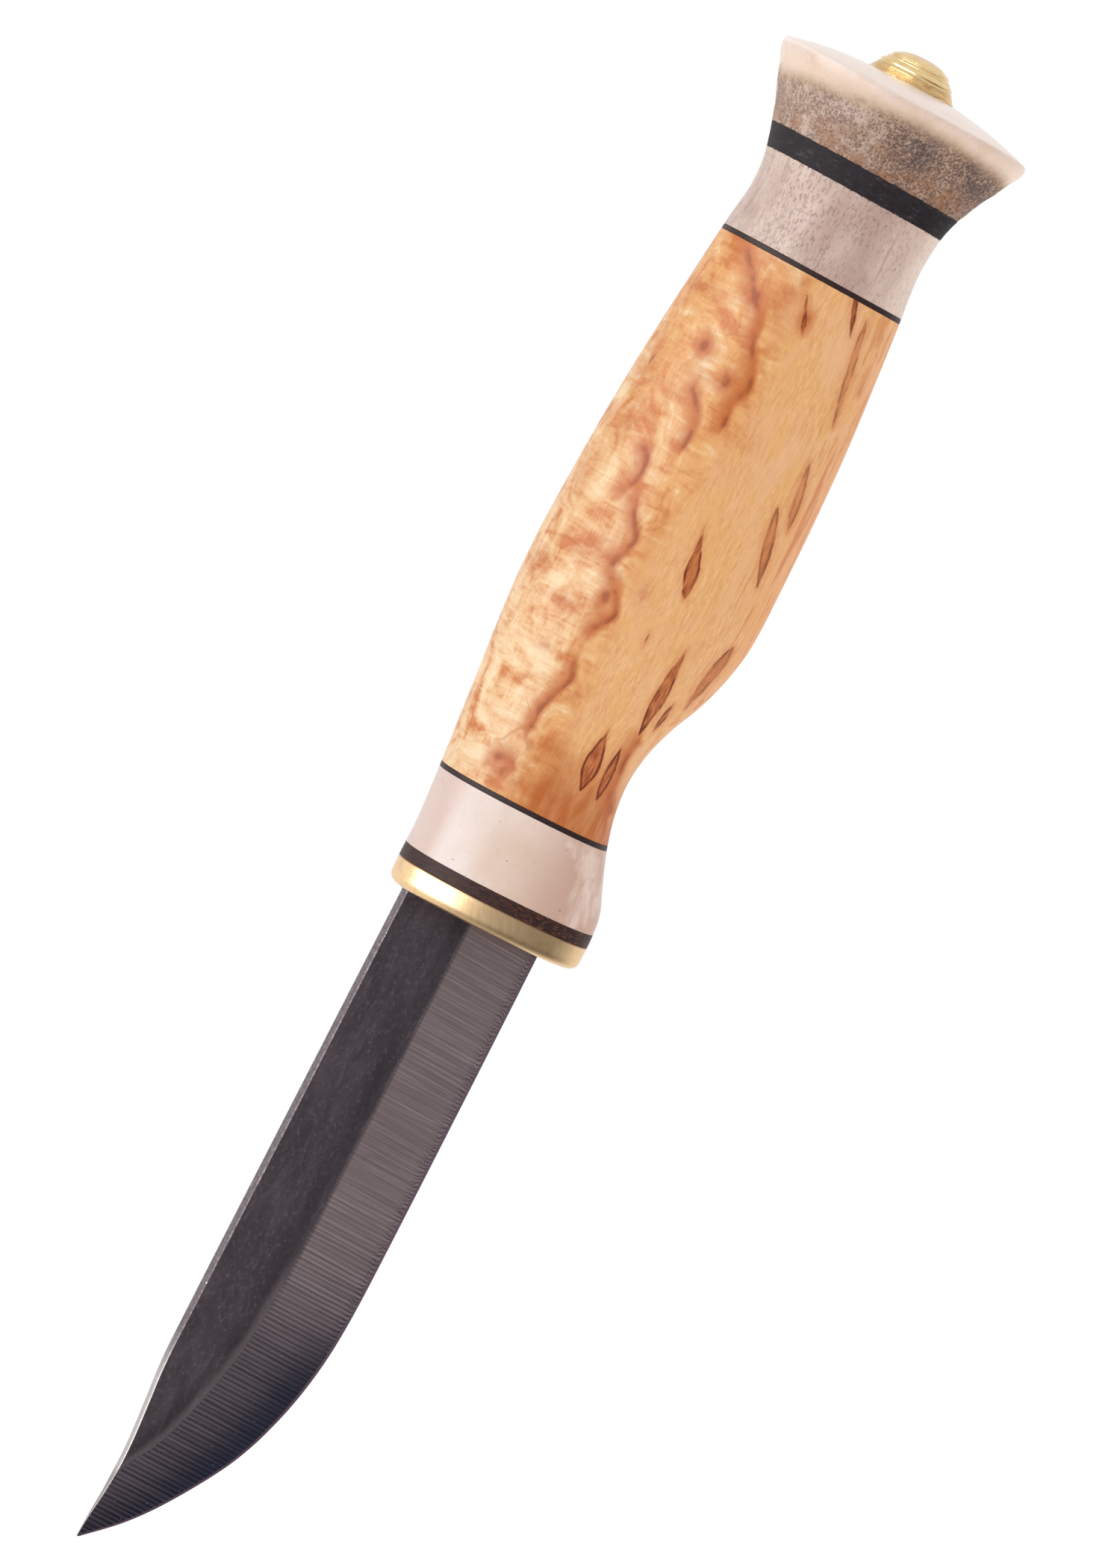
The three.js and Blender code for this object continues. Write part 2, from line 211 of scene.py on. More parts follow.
def circle_ring(radius, level):
    return np.stack([radius * np.cos(TURNS), radius * np.sin(TURNS), np.full(AROUND, float(level))], 1)


def bedding_ring(level):
    """The round-ended slot drilled for the tang's adhesive bed."""
    c, s = np.cos(TURNS), np.sin(TURNS)
    straight = BEDDING_SLOT["half_width"] - BEDDING_SLOT["half_height"]
    x = BEDDING_SLOT["centre"] + np.sign(c) * straight + BEDDING_SLOT["half_height"] * c
    return np.stack([x, BEDDING_SLOT["half_height"] * s, level * (1 - LEAN_PER_MM * x)], 1)


def slot_ring(profile, level, clearance, lean=LEAN_PER_MM):
    """A nearly square slot round a profile of x and half thickness."""
    xs, halves = np.array(profile).T
    centre, reach = (xs[0] + xs[-1]) / 2, (xs[-1] - xs[0]) / 2 + clearance
    x = centre + raised(np.cos(TURNS), BORE_POWER) * reach
    y = raised(np.sin(TURNS), BORE_POWER) * (np.interp(x, xs, halves) + clearance)
    return np.stack([x, y, level * (1 - lean * x)], 1)


def tang_profile(level):
    share = np.clip((level - TANG_START) / (TANG_ROUND_Z - TANG_START), 0, 1)
    return np.array(TANG_FRONT) * (1 - share) + np.array(TANG_REAR) * share


def skin(name, rings, closed_loop):
    """A mesh over rings of equal count: a closed loop of rings, or a run with a fan over each end."""
    n, count = len(rings[0]), len(rings)
    points = np.vstack(rings)
    i = np.arange(n)
    j = (i + 1) % n
    faces = []
    for row in range(count if closed_loop else count - 1):
        a, b = row * n, ((row + 1) % count) * n
        faces += np.stack([a + i, a + j, b + j, b + i], 1).tolist()
    if not closed_loop:
        points = np.vstack([points, rings[0].mean(0), rings[-1].mean(0)])
        last = (count - 1) * n
        faces += np.stack([np.full(n, count * n), j, i], 1).tolist()
        faces += np.stack([np.full(n, count * n + 1), last + i, last + j], 1).tolist()
    mesh = bpy.data.meshes.new(name)
    mesh.from_pydata(((points + (0, 0, FACE_Z)) * MM).tolist(), [], faces)
    mesh.polygons.foreach_set("use_smooth", [True] * len(mesh.polygons))
    piece = bpy.data.objects.new(name, mesh)
    bpy.context.scene.collection.objects.link(piece)
    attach(piece, "root")
    return piece, points


def add_field(piece, name, values):
    """Stores one number per point, which the materials read by name."""
    field = piece.data.attributes.new(name, "FLOAT", "POINT")
    field.data.foreach_set("value", np.asarray(values, np.float32))


def rounded_levels(low, high, step, rounding):
    """Heights from low to high, each with an inset that rounds both ends."""
    quarter = np.radians((90, 60, 30, 0))
    ends = [((1 - math.sin(a)) * rounding, (1 - math.cos(a)) * rounding) for a in quarter]
    middle = np.arange(low + rounding + step / 2, high - rounding - step / 4, step)
    return (
        [(low + up, inset) for up, inset in ends]
        + [(level, 0.0) for level in middle]
        + [(high - up, inset) for up, inset in reversed(ends)]
    )


def front_bore(level):
    return slot_ring(tang_profile(level), level, TANG_CLEARANCE)


def round_bore(level):
    return circle_ring(ROUND_BORE, level)


def handle_slice(node, name, step, bore, roughness=0.0, fields=None):
    """A fine slice of the handle, with its bore, an uneven surface and any fields at its points."""
    levels = ring_level(frame_points(node))
    low, high = levels.min(), levels.max()
    outer = [handle_ring(level, inset) for level, inset in rounded_levels(low, high, step, JOINT_ROUNDING)]
    for ring in outer:
        push_out(ring, relief(ring, SURFACE) * roughness)
    piece, points = skin(name, outer + [bore(high), bore(low)], closed_loop=True)
    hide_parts(node)
    if fields:
        for field, values in fields(points).items():
            add_field(piece, field, values)
    return piece


def front_leather_spacer():
    return handle_slice("front_spacer", "front_leather_spacer", 0.15, front_bore, 0.012)


def polished_antler_ferrule():
    return handle_slice("front_antler", "polished_antler_ferrule", 0.3, bedding_ring)


def front_fibre_liner():
    return handle_slice("front_liner", "front_fibre_liner", 0.15, bedding_ring, 0.004)


def rear_fibre_liner():
    return handle_slice("rear_liner", "rear_fibre_liner", 0.15, bedding_ring, 0.004)


def porous_antler_ferrule():
    return handle_slice("rear_antler", "porous_antler_ferrule", 0.3, bedding_ring, 0.004)


def rear_leather_spacer():
    return handle_slice("rear_spacer", "rear_leather_spacer", 0.15, round_bore, 0.015)


# ---- the blade

def blade_section(distance):
    """The blade's x positions from back to edge, with its half thickness at each."""
    lines = (BLADE_BACK, BLADE_RIDGE, BLADE_EDGE, BLADE_HALF)
    back, ridge, edge, half = (float(line(distance)) for line in lines)
    slope = (half - EDGE_BEVEL_HALF) / max(edge - max(ridge, back), NARROWEST_BEVEL)
    spread = np.array((-1.5, -1, -0.6, -0.35, -0.15, 0, 0.15, 0.35, 0.6, 1, 1.5))
    shrink = min(1.0, (edge - back) / DETAIL_WIDTH)
    knee = np.clip(ridge + spread * shrink, back + 0.3 * shrink, edge - 1.2 * shrink)
    flat = np.linspace(back + SPINE_CHAMFER * shrink, knee[0], 8)
    micro = edge - EDGE_BEVEL_WIDTH * shrink
    bevel = np.linspace(knee[-1], micro, 16)
    x = np.r_[back, flat, knee[1:], bevel[1:], (micro + edge) / 2, edge]
    bevel_plane = EDGE_BEVEL_HALF + (edge - x) * slope
    softness = RIDGE_CRISP + RIDGE_SOFTENING * np.clip((distance - SOFTENS_FROM) / SOFTENS_OVER, 0, 1)
    blend = np.clip(0.5 + (bevel_plane - half) / (2 * softness), 0, 1)
    y = bevel_plane * (1 - blend) + half * blend - softness * blend * (1 - blend)
    y[0] = max(y[0] - SPINE_CHAMFER * shrink, 0.02)
    y = np.maximum(y, EDGE_BEVEL_HALF)
    y[-3] = max(y[-3], EDGE_BEVEL_HALF + 0.07 * shrink)
    y[-2] = (y[-3] + y[-1]) / 2
    return x, y, ridge, edge


def blade_ring(distance):
    x, y, ridge, edge = blade_section(distance)
    near = np.stack([x, -y, np.full(len(x), -distance)], 1)
    near[1:-4, 1] += relief(near, FORGED)[1:-4] * np.clip((edge - x[1:-4]) / 3, 0, 1)
    far = near[::-1] * (1, -1, 1)
    fields = [np.r_[v, v[::-1]] for v in (x - ridge, edge - x)]
    return np.vstack([near, far]), fields


def profile_ring(profile, level, count):
    """A ring of the tang, with its points spread from back to front on each side."""
    xs, halves = np.array(profile).T
    x = np.linspace(xs[0], xs[-1], count // 2)
    near = np.stack([x, -np.interp(x, xs, halves), np.full(len(x), float(level))], 1)
    return np.vstack([near, near[::-1] * (1, -1, 1)])


def round_ring(radius, level, count):
    a = (np.arange(count) + 0.5) / count * 2 * math.pi
    return np.stack([-radius * np.cos(a), -radius * np.sin(a), np.full(count, float(level))], 1)


def steel_blade():
    stations = np.r_[
        BLADE_LENGTH - np.array((0, 0.06, 0.15, 0.27)),
        np.linspace(BLADE_LENGTH - 0.4, 60, 110),
        np.linspace(60, 0.1, 170)[1:],
    ]
    made = [blade_ring(distance) for distance in stations]
    rings = [ring for ring, _ in made]
    count = len(rings[0])
    root = rings[-1].copy()
    root[:, 2] = TANG_START
    rings += [root, profile_ring(TANG_FRONT, TANG_START + 0.01, count)]
    rings += [profile_ring(tang_profile(level), level, count) for level in (30, 60, TANG_REAR_Z)]
    rings += [round_ring(TANG_RADIUS, level, count) for level in (TANG_ROUND_Z, CAP_TOP_Z - 0.9)]
    for share in (0, 0.35, 0.65, 0.88):
        dome = CAP_TOP_Z + (TIP_Z - CAP_TOP_Z) * math.sqrt(1 - (1 - share) ** 2)
        rings.append(round_ring(HEAD_RADIUS * (1 - share), dome, count))
    piece, points = skin("steel_blade", rings, closed_loop=False)
    hidden = len(points) - len(stations) * count
    for k, name in enumerate(("from_ridge", "from_edge")):
        shown = np.hstack([fields[k] for _, fields in made])
        add_field(piece, name, np.r_[shown, np.full(hidden, FAR_FROM_EDGE)])
    piece.data.set_sharp_from_angle(angle=math.radians(6))
    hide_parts("blade")
    return piece


# ---- brass pieces

def brass_bolster():
    levels = ring_level(frame_points("front_bolster"))
    quarter = np.radians(np.linspace(90, 0, 9))
    front = [
        handle_ring(BOLSTER_ROUND * (1 - math.sin(a)), BOLSTER_ROUND * (1 - math.cos(a)), BOLSTER_ROUND, 0)
        for a in quarter
    ]
    rows = rounded_levels(0, levels.max(), 0.3, JOINT_ROUNDING)
    side = [handle_ring(level, inset) for level, inset in rows]
    side = [ring for ring in side if ring[:, 2].min() > BOLSTER_ROUND + 0.1]
    x, y, *_ = blade_section(0.1)
    root = np.stack([x, y], 1)
    bore = [slot_ring(tang_profile(level), level, TANG_CLEARANCE) for level in (levels.max(), ROOT_DEPTH)]
    mouth = [slot_ring(root, level, ROOT_CLEARANCE, 0) for level in (ROOT_DEPTH, 0)]
    piece, _ = skin("brass_bolster", front + side + bore + mouth, closed_loop=True)
    piece.data.set_sharp_from_angle(angle=math.radians(50))
    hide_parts("front_bolster")
    return piece


def turned_piece(node, name, profile, bore):
    """A turned ring; profile gives radius and share of the height, from the bottom outwards to the top."""
    heights = frame_points(node)[:, 2]
    low, high = heights.min(), heights.max()
    radii, shares = np.array(profile).T
    along = np.linspace(0, len(profile) - 1, 9 * len(profile))
    radii = np.interp(along, np.arange(len(profile)), radii)
    shares = np.interp(along, np.arange(len(profile)), shares)
    outer = []
    for radius, share in zip(radii, shares):
        groove = 0.025 * math.sin(share * 43) + 0.015 * math.sin(share * 97 + 1)
        ring = circle_ring(radius + groove * (0 < share < 0.97), low + (high - low) * share)
        ring[:, :2] *= 1 + 0.004 * lattice_noise(ring, 1.5, SEED)[:, None]
        outer.append(ring)
    inner = [circle_ring(radius, low + (high - low) * share) for radius, share in bore]
    piece, _ = skin(name, outer + inner, closed_loop=True)
    piece.data.set_sharp_from_angle(angle=math.radians(40))
    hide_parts(node)
    return piece


def turned_washer():
    return turned_piece("end_washer", "turned_washer", WASHER, WASHER_BORE)


def domed_cap():
    return turned_piece("end_cap", "domed_cap", CAP, CAP_BORE)


# ---- the pommel

def antler_pommel():
    """The flared pommel: a rough band of bark below a cut, rounded and polished top."""
    low = ring_level(frame_points("antler_pommel")).min()
    levels = [row for row in rounded_levels(low, RIM_Z, 0.2, JOINT_ROUNDING) if row[0] < RIM_Z - 0.1]
    rings = [handle_ring(level, inset) for level, inset in levels]
    rings += [handle_ring(RIM_Z + up, inset, RIM_Z) for up, inset in RIM]
    seat = circle_ring(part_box("end_washer")[1].x / MM, SEAT_Z)
    shoulder = rings[-1]
    for share in np.linspace(0, 1, 22)[1:]:
        rings.append(shoulder + (seat - shoulder) * share + (0, 0, share * (1 - share) * DOME_BULGE))
    for ring in rings:
        level = ring_level(ring)
        bark = np.clip((RIM_Z - 0.8 - level) / 0.9, 0, 1)
        pits = np.clip(relief(ring, BARK_PITS) - 0.15, 0, 1) * 0.16
        push_out(ring, bark * (relief(ring, BARK_LUMPS) - pits))
    bore = [round_bore(level) for level in (SEAT_Z, low)]
    piece, _ = skin("bark_antler_pommel", rings + bore, closed_loop=True)
    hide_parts("antler_pommel")
    return piece


# ---- the birch's figure

# Places in the wood: across the grip towards the belly, then the height. Flecks run from their upper end to
# their lower end, with a width and how far down the widest place is.
SLANT = math.radians(-14)
FAR_FLIP, FAR_SHIFT = 101.0, 2.5  # how the marks are turned and shifted for the far side
FLECKS = (
    (5.0, 86.0, 6.9, 80.1, 0.5, 0.5), (7.7, 82.8, 9.9, 69.8, 0.8, 0.4),
    (9.4, 65.6, 10.8, 56.6, 0.9, 0.55), (8.5, 59.0, 10.6, 49.6, 1.1, 0.45),
    (1.9, 53.6, 3.7, 44.6, 1.45, 0.66), (11.4, 42.4, 9.6, 33.4, 1.2, 0.4),
    (6.6, 40.0, 6.2, 28.3, 1.35, 0.55), (8.2, 33.6, 7.5, 29.4, 0.45, 0.5),
    (2.8, 27.6, 3.1, 19.6, 1.85, 0.6), (5.1, 26.3, 5.3, 19.4, 1.0, 0.55),
    (0.3, 82.3, 1.95, 77.7, 0.4, 0.62), (10.6, 77.8, 10.9, 74.5, 0.12, 0.5),
    (2.0, 39.6, 1.85, 37.9, 0.15, 0.5), (8.9, 87.0, 9.2, 85.4, 0.3, 0.5),
    (-12.1, 68.5, -12.3, 66.9, 0.15, 0.5),
)
VEINS = (
    ((-8.1, 83.8), (-6.5, 81.8), (-4.9, 79.4), (-3.2, 77.1), (-2.5, 74.2), (-1.1, 71.4), (-0.7, 69.4),
     (-1.6, 67.4), (-1.5, 64.7)),
    ((-6.4, 66.7), (-5.2, 65.4), (-4.5, 64.1), (-4.3, 62.4), (-4.4, 60.4)),
    ((-8.3, 58.1), (-7.5, 57.4), (-7.3, 56.0), (-7.5, 54.4), (-8.2, 52.9)),
    ((-6.4, 52.5), (-5.5, 50.2), (-4.4, 48.5), (-4.8, 46.5), (-5.4, 44.5), (-4.5, 42.9), (-3.2, 41.5),
     (-2.6, 39.9), (-3.2, 38.2), (-4.0, 36.9)),
    ((-4.0, 32.3), (-3.6, 30.8), (-4.5, 28.5), (-5.2, 25.8), (-5.2, 23.8)),
    ((6.5, 27.5), (6.3, 24.2), (6.6, 21.2), (7.6, 18.8)),
    ((-7.1, 18.8), (-5.9, 19.2), (-5.0, 18.5), (-5.7, 17.5)),
)
EYES = ((1.5, 79.6, 0.32), (-7.6, 71.7, 0.5), (-3.5, 69.2, 0.45), (-4.9, 79.3, 0.5), (-4.5, 40.9, 0.55))
STAINS = (  # across, height, half width, half height, strength
    (-10.6, 77.6, 3, 0.9, 0.9), (-5.5, 79.1, 1.6, 1.2, 0.9), (-6.5, 83.8, 3, 1.6, 0.6),
    (-2.2, 80.4, 2, 2.2, 0.4), (-7.6, 71.4, 1.3, 1.2, 0.8), (-2.5, 69.7, 1.1, 2.4, 0.6),
    (-6.5, 68.7, 3, 0.9, 0.5), (-11.3, 60.4, 1.4, 3, 0.7), (-12.6, 65.4, 1.2, 2.5, 0.6),
    (-12.6, 69.1, 1.2, 2, 0.5), (-8.2, 57.4, 1, 0.9, 0.8), (-9.9, 65.6, 3, 0.7, 0.5),
    (-13, 52.4, 1, 2.5, 0.5), (-9.6, 44.9, 2, 1.6, 0.7), (-13, 40.9, 1.5, 1.5, 0.8),
    (-8.6, 38.3, 1.9, 0.9, 0.9), (-8.2, 32.7, 1.3, 0.8, 0.7), (-2.2, 22.5, 1.8, 1, 0.6),
    (-4.9, 39.5, 1, 1.6, 0.6), (-6.2, 18.4, 1.4, 1, 0.8), (-0.8, 43.2, 0.9, 1.2, 0.6),
    (-1.8, 29.4, 0.8, 1.6, 0.4), (-2.2, 17.3, 5, 0.9, 0.6), (-0.4, 83.2, 0.7, 1.6, 0.5),
    (2.6, 64, 1.6, 1.2, 0.3), (-7, 52.5, 1.4, 1.4, 0.4), (-3, 50, 1.2, 3, 0.3),
)


def to_far_side(marks):
    """The same kinds of marks, turned end for end, for the side away from the camera."""
    return [(across, FAR_FLIP - height, *rest) for across, height, *rest in marks]


def far_flecks():
    """The flecks turned end for end, which swaps their upper and lower ends."""
    return [
        (low_across - FAR_SHIFT, FAR_FLIP - low, top_across - FAR_SHIFT, FAR_FLIP - top, width, 1 - widest)
        for top_across, top, low_across, low, width, widest in FLECKS
    ]


def fleck_depth(across, height, fleck):
    """How deep each place lies inside a lens-shaped fleck; negative outside."""
    top, bottom = np.array(fleck[:2]), np.array(fleck[2:4])
    width, widest = fleck[4:]
    run = bottom - top
    length = np.linalg.norm(run)
    run /= length
    offset = np.stack([across, height], 1) - top
    along = offset @ run / length
    aside = np.abs(offset @ np.array((run[1], -run[0])))
    inside = np.clip(along, 0, 1) ** (math.log(0.5) / math.log(widest))
    reach = width / 2 * np.sin(math.pi * inside)
    beyond = np.maximum(-along, along - 1).clip(0) * length
    return reach - aside - beyond


def line_distance(across, height, line):
    """The distance to a smooth line through the given places, growing faster on the belly's side."""
    line = np.array(line)
    reach = np.r_[0, np.cumsum(np.linalg.norm(np.diff(line, axis=0), axis=1))]
    fine = np.linspace(0, reach[-1], 6 * len(line))
    line = np.stack([smooth_curve(reach, line[:, 0])(fine), smooth_curve(reach, line[:, 1])(fine)], 1)
    here = np.stack([across, height], 1)
    nearest = np.full(len(here), 99.0)
    for start, end in itertools.pairwise(line):
        run = end - start
        share = np.clip((here - start) @ run / (run @ run), 0, 1)
        offset = here - start - share[:, None] * run
        distance = np.linalg.norm(offset, axis=1) * np.where(offset[:, 0] > 0, 3.0, 1.0)
        nearest = np.minimum(nearest, distance)
    return nearest


def birch_fields(points):
    """The figure at every point of the grip: flecks, dark veins, stains and how curly the grain is."""
    x, y, height = points.T
    fleck = np.full(len(points), -5.0)
    vein = np.full(len(points), 20.0)
    stain = np.zeros(len(points))
    far_veins = [to_far_side(line) for line in VEINS]
    sides = (
        (-1, FLECKS, VEINS, EYES, STAINS),
        (1, far_flecks(), far_veins, to_far_side(EYES), to_far_side(STAINS)),
    )
    for side, flecks, veins, eyes, stains in sides:
        across = x * math.cos(SLANT) - side * y * math.sin(SLANT)
        away = np.clip(-side * y, 0, None)
        waver = 0.22 * lattice_noise(points, 2.6, SEED + 5 + side)
        for mark in flecks:
            fleck = np.maximum(fleck, fleck_depth(across, height, mark) - away)
        for line in veins:
            vein = np.minimum(vein, line_distance(across + waver, height, line) + away)
        for a, z, radius in eyes:
            ring = np.hypot((across - a) * 1.5, height - z) - radius
            vein = np.minimum(vein, np.maximum(ring, -0.2) + 0.2 + away)
        for a, z, wide, tall, strength in stains:
            spread = ((across + 2 * waver - a) / wide) ** 2 + ((height - z) / tall) ** 2
            stain = np.maximum(stain, strength * np.exp(-spread - away / 2))
    border = -1.2 + 1.6 * np.sin(height / 9) + 1.2 * lattice_noise(points, 6, SEED + 8)
    curl = 1 / (1 + np.exp((x * math.cos(SLANT) + np.abs(y * math.sin(SLANT)) - border) / 0.9))
    return {"fleck": fleck, "vein": vein, "stain": stain, "curl": curl}


def curly_birch_grip():
    return handle_slice("birch_grip", "curly_birch_grip", 0.25, bedding_ring, fields=birch_fields)


# ---- materials

def tone(red, green, blue):
    """A display colour from 0 to 1, turned to linear light."""
    linear = [c / 12.92 if c < 0.04045 else ((c + 0.055) / 1.055) ** 2.4 for c in (red, green, blue)]
    return (*linear, 1.0)


def wire(tree, node, inputs):
    """Fills a node's inputs: a socket is linked, anything else becomes the value."""
    for name, value in inputs.items():
        if isinstance(value, bpy.types.NodeSocket):
            tree.links.new(value, node.inputs[name])
        else:
            node.inputs[name].default_value = value


def make_node(tree, kind, inputs, **settings):
    node = tree.nodes.new(kind)
    for name, value in settings.items():
        setattr(node, name, value)
    wire(tree, node, inputs)
    return node


class Paint:
    """One material's node tree, written as short sums over sockets and plain numbers."""

    def __init__(self, name):
        self.material = bpy.data.materials.new(name)
        self.material.use_nodes = True
        self.tree = self.material.node_tree
        self.shader = self.tree.nodes["Principled BSDF"]
        place = self.make("ShaderNodeTexCoord").outputs["Object"]
        sized = self.make("ShaderNodeVectorMath", {0: place, "Scale": 1 / MM}, operation="SCALE")
        from_face = {0: sized.outputs[0], 1: (0, 0, -FACE_Z)}
        self.mm = self.make("ShaderNodeVectorMath", from_face, operation="ADD").outputs[0]
        self.x, self.y, self.z = self.make("ShaderNodeSeparateXYZ", {0: self.mm}).outputs

    def make(self, kind, inputs=(), **settings):
        return make_node(self.tree, kind, dict(inputs), **settings)

    def calc(self, operation, *values):
        return self.make("ShaderNodeMath", dict(enumerate(values)), operation=operation).outputs[0]

    def plus(self, *values):
        total = values[0]
        for value in values[1:]:
            total = self.calc("ADD", total, value)
        return total

    def times(self, *values):
        total = values[0]
        for value in values[1:]:
            total = self.calc("MULTIPLY", total, value)
        return total

    def line(self, value, slope, start):
        return self.plus(start, self.times(value, slope))

    def ease(self, value, low, high):
        """0 at low and 1 at high, smoothly; low may be the larger."""
        inputs = {"Value": value, "From Min": low, "From Max": high}
        return self.make("ShaderNodeMapRange", inputs, interpolation_type="SMOOTHSTEP").outputs[0]

    def stretched(self, stretch, shift, tilt=0):
        where = self.mm
        if tilt:
            turn = {"Vector": where, "Angle": math.radians(tilt)}
            where = self.make("ShaderNodeVectorRotate", turn, rotation_type="Y_AXIS").outputs[0]
        inputs = {0: where, 1: stretch, 2: (shift, 1.7 * shift, -shift)}
        return self.make("ShaderNodeVectorMath", inputs, operation="MULTIPLY_ADD").outputs[0]

    def noise(self, stretch, shift=0, detail=3, rough=0.5, warp=0, tilt=0):
        """Noise with the given bumps per mm along x, y and z, or one number for all three."""
        stretch = stretch if isinstance(stretch, tuple) else (stretch,) * 3
        inputs = {
            "Vector": self.stretched(stretch, shift, tilt), "Scale": 1,
            "Detail": detail, "Roughness": rough, "Distortion": warp,
        }
        return self.make("ShaderNodeTexNoise", inputs).outputs[0]

    def spots(self, per_mm, shift, radius):
        """1 inside small scattered dots, 0 outside."""
        stretch = per_mm if isinstance(per_mm, tuple) else (per_mm,) * 3
        inputs = {"Vector": self.stretched(stretch, shift), "Scale": 1}
        distance = self.make("ShaderNodeTexVoronoi", inputs).outputs["Distance"]
        return self.ease(distance, radius, radius * 0.5)

    def field(self, name):
        return self.make("ShaderNodeAttribute", attribute_name=name).outputs["Fac"]

    def mix(self, share, *ends):
        """Blends two colours, each a socket or its red, green and blue on a display."""
        first, second = (tone(*end) if isinstance(end, tuple) else end for end in ends)
        return self.make("ShaderNodeMix", {0: share, 6: first, 7: second}, data_type="RGBA").outputs[2]

    def over(self, base, paint, *shares):
        """Another colour laid over a base; the shares multiply to how much of it shows."""
        return self.mix(self.times(*shares), base, paint)

    def dress(self, colour, roughness, metal=0.0, bumps=(), coat=0.0, coat_roughness=0.1, specular=0.5):
        """Wires the shader; bumps are pairs of a height from 0 to 1 and its depth in mm."""
        inputs = {
            "Base Color": colour, "Roughness": roughness, "Metallic": metal,
            "Coat Weight": coat, "Coat Roughness": coat_roughness, "Specular IOR Level": specular,
        }
        normal = None
        for height, depth in bumps:
            wires = {"Strength": 1, "Distance": depth * MM, "Height": height}
            if normal:
                wires["Normal"] = normal
            normal = self.make("ShaderNodeBump", wires).outputs[0]
        if normal:
            inputs["Normal"] = normal
        wire(self.tree, self.shader, inputs)
        return self.material


def forge_scale(p, ridge, from_tip, cloud, fine):
    """Dark scale with pale scratches and specks, darkest just behind the ridge."""
    scratch = p.ease(p.noise((5, 5, 0.10), 8, 3, 0.6), 0.64, 0.74)
    scale = p.mix(p.ease(cloud, 0.28, 0.76), (0.29, 0.26, 0.28), (0.36, 0.325, 0.35))
    scale = p.over(scale, (0.49, 0.44, 0.46), p.ease(fine, 0.5, 0.75), 0.5)
    patches = p.ease(p.noise((0.5, 0.5, 0.1), 2), 0.3, 0.6)
    by_ridge = p.times(p.ease(ridge, -3.2, -1.1), p.ease(ridge, 0.1, -0.4), patches)
    scale = p.over(scale, (0.2, 0.185, 0.22), by_ridge, 0.5)
    scale = p.over(scale, (0.44, 0.4, 0.43), scratch, 0.3)
    scale = p.over(scale, (0.62, 0.58, 0.58), p.spots(1.3, 4, 0.1), 0.5)
    glint = p.times(p.ease(from_tip, 46, 34), p.ease(ridge, -1.3, -0.1), p.ease(ridge, 0.6, 0.1))
    return p.over(scale, (0.53, 0.48, 0.49), glint, 0.5)


def grinding(p, from_tip):
    """The cross striations that the grinding leaves, more regular towards the point."""
    strokes = p.noise((0.06, 0.4, 6.5), 11, 3, 0.6, 0.0, -4)
    jitter = p.times(p.noise((0.12, 0.3, 0.7), 25, 2), 3)
    ripple = p.calc("SINE", p.plus(p.times(p.z, 11), p.times(p.x, 0.7), jitter))
    strength = p.line(p.ease(from_tip, 56, 34), 0.7, 0.2)
    ripple = p.times(p.plus(p.times(ripple, 0.5), 0.5), strength)
    return p.plus(p.times(strokes, 0.6), p.times(ripple, 0.26))


def edge_comb(p, edge, from_tip):
    """Short, regular nicks of grinding beside the edge, away from the point."""
    rhythm = p.calc("SINE", p.times(p.plus(p.z, p.times(p.noise((0.8, 0.8, 0.5), 21), 1.6)), 13))
    return p.times(p.ease(rhythm, 0.0, 0.7), p.ease(edge, 1.9, 0.5), p.ease(from_tip, 20, 30))


def ground_bevel(p, ridge, edge, from_tip, grind, comb):
    """Bright ground steel that turns dark, and bluish along the belly, towards the point."""
    broad = p.noise((0.05, 0.3, 0.5), 14, 2, 0.5, 0.0, -4)
    ground = p.mix(p.ease(grind, 0.22, 0.62), (0.56, 0.50, 0.51), (0.81, 0.735, 0.745))
    ground = p.over(ground, (0.52, 0.475, 0.49), p.ease(broad, 0.4, 0.75), 0.2)
    tipward = p.times(p.ease(from_tip, 50, 24), p.line(p.ease(edge, 8, 0.5), 0.25, 0.75))
    dark = p.mix(p.ease(grind, 0.26, 0.6), (0.17, 0.16, 0.22), (0.36, 0.345, 0.40))
    ground = p.over(ground, dark, tipward)
    belly_blue = p.times(p.ease(from_tip, 36, 25), p.ease(from_tip, 6, 14), p.ease(edge, 5, 0.6))
    ground = p.over(ground, (0.19, 0.21, 0.31), belly_blue, 0.55)
    ground = p.over(ground, (0.75, 0.7, 0.72), p.spots(0.9, 9, 0.08), 0.55)
    ground = p.over(ground, (0.25, 0.22, 0.25), comb, 0.6)
    ground = p.over(ground, (0.55, 0.45, 0.52), p.ease(edge, 0.42, 0.3), 0.8)
    crease = p.times(p.ease(ridge, -0.1, 0.1), p.ease(ridge, 0.5, 0.2), p.ease(from_tip, 30, 45))
    return p.over(ground, (0.25, 0.22, 0.25), crease, 0.5)


def filed_spine(p, from_tip):
    """The filed back of the blade, with painted highlights: bright specks and a brighter stretch by the
    point.
    """
    rubbed = p.ease(p.noise((1, 1, 1.6), 23, 4, 0.7), 0.4, 0.7)
    filed = p.mix(rubbed, (0.36, 0.32, 0.34), (0.52, 0.47, 0.49))
    # painted highlights: bright specks over the spine
    filed = p.over(filed, (0.9, 0.88, 0.86), p.spots((1, 1, 1.4), 31, 0.16), 0.7)
    # painted highlight: the spine is lightened over its stretch nearest the point
    return p.over(filed, (0.86, 0.84, 0.83), p.ease(from_tip, 28, 20), 0.6)


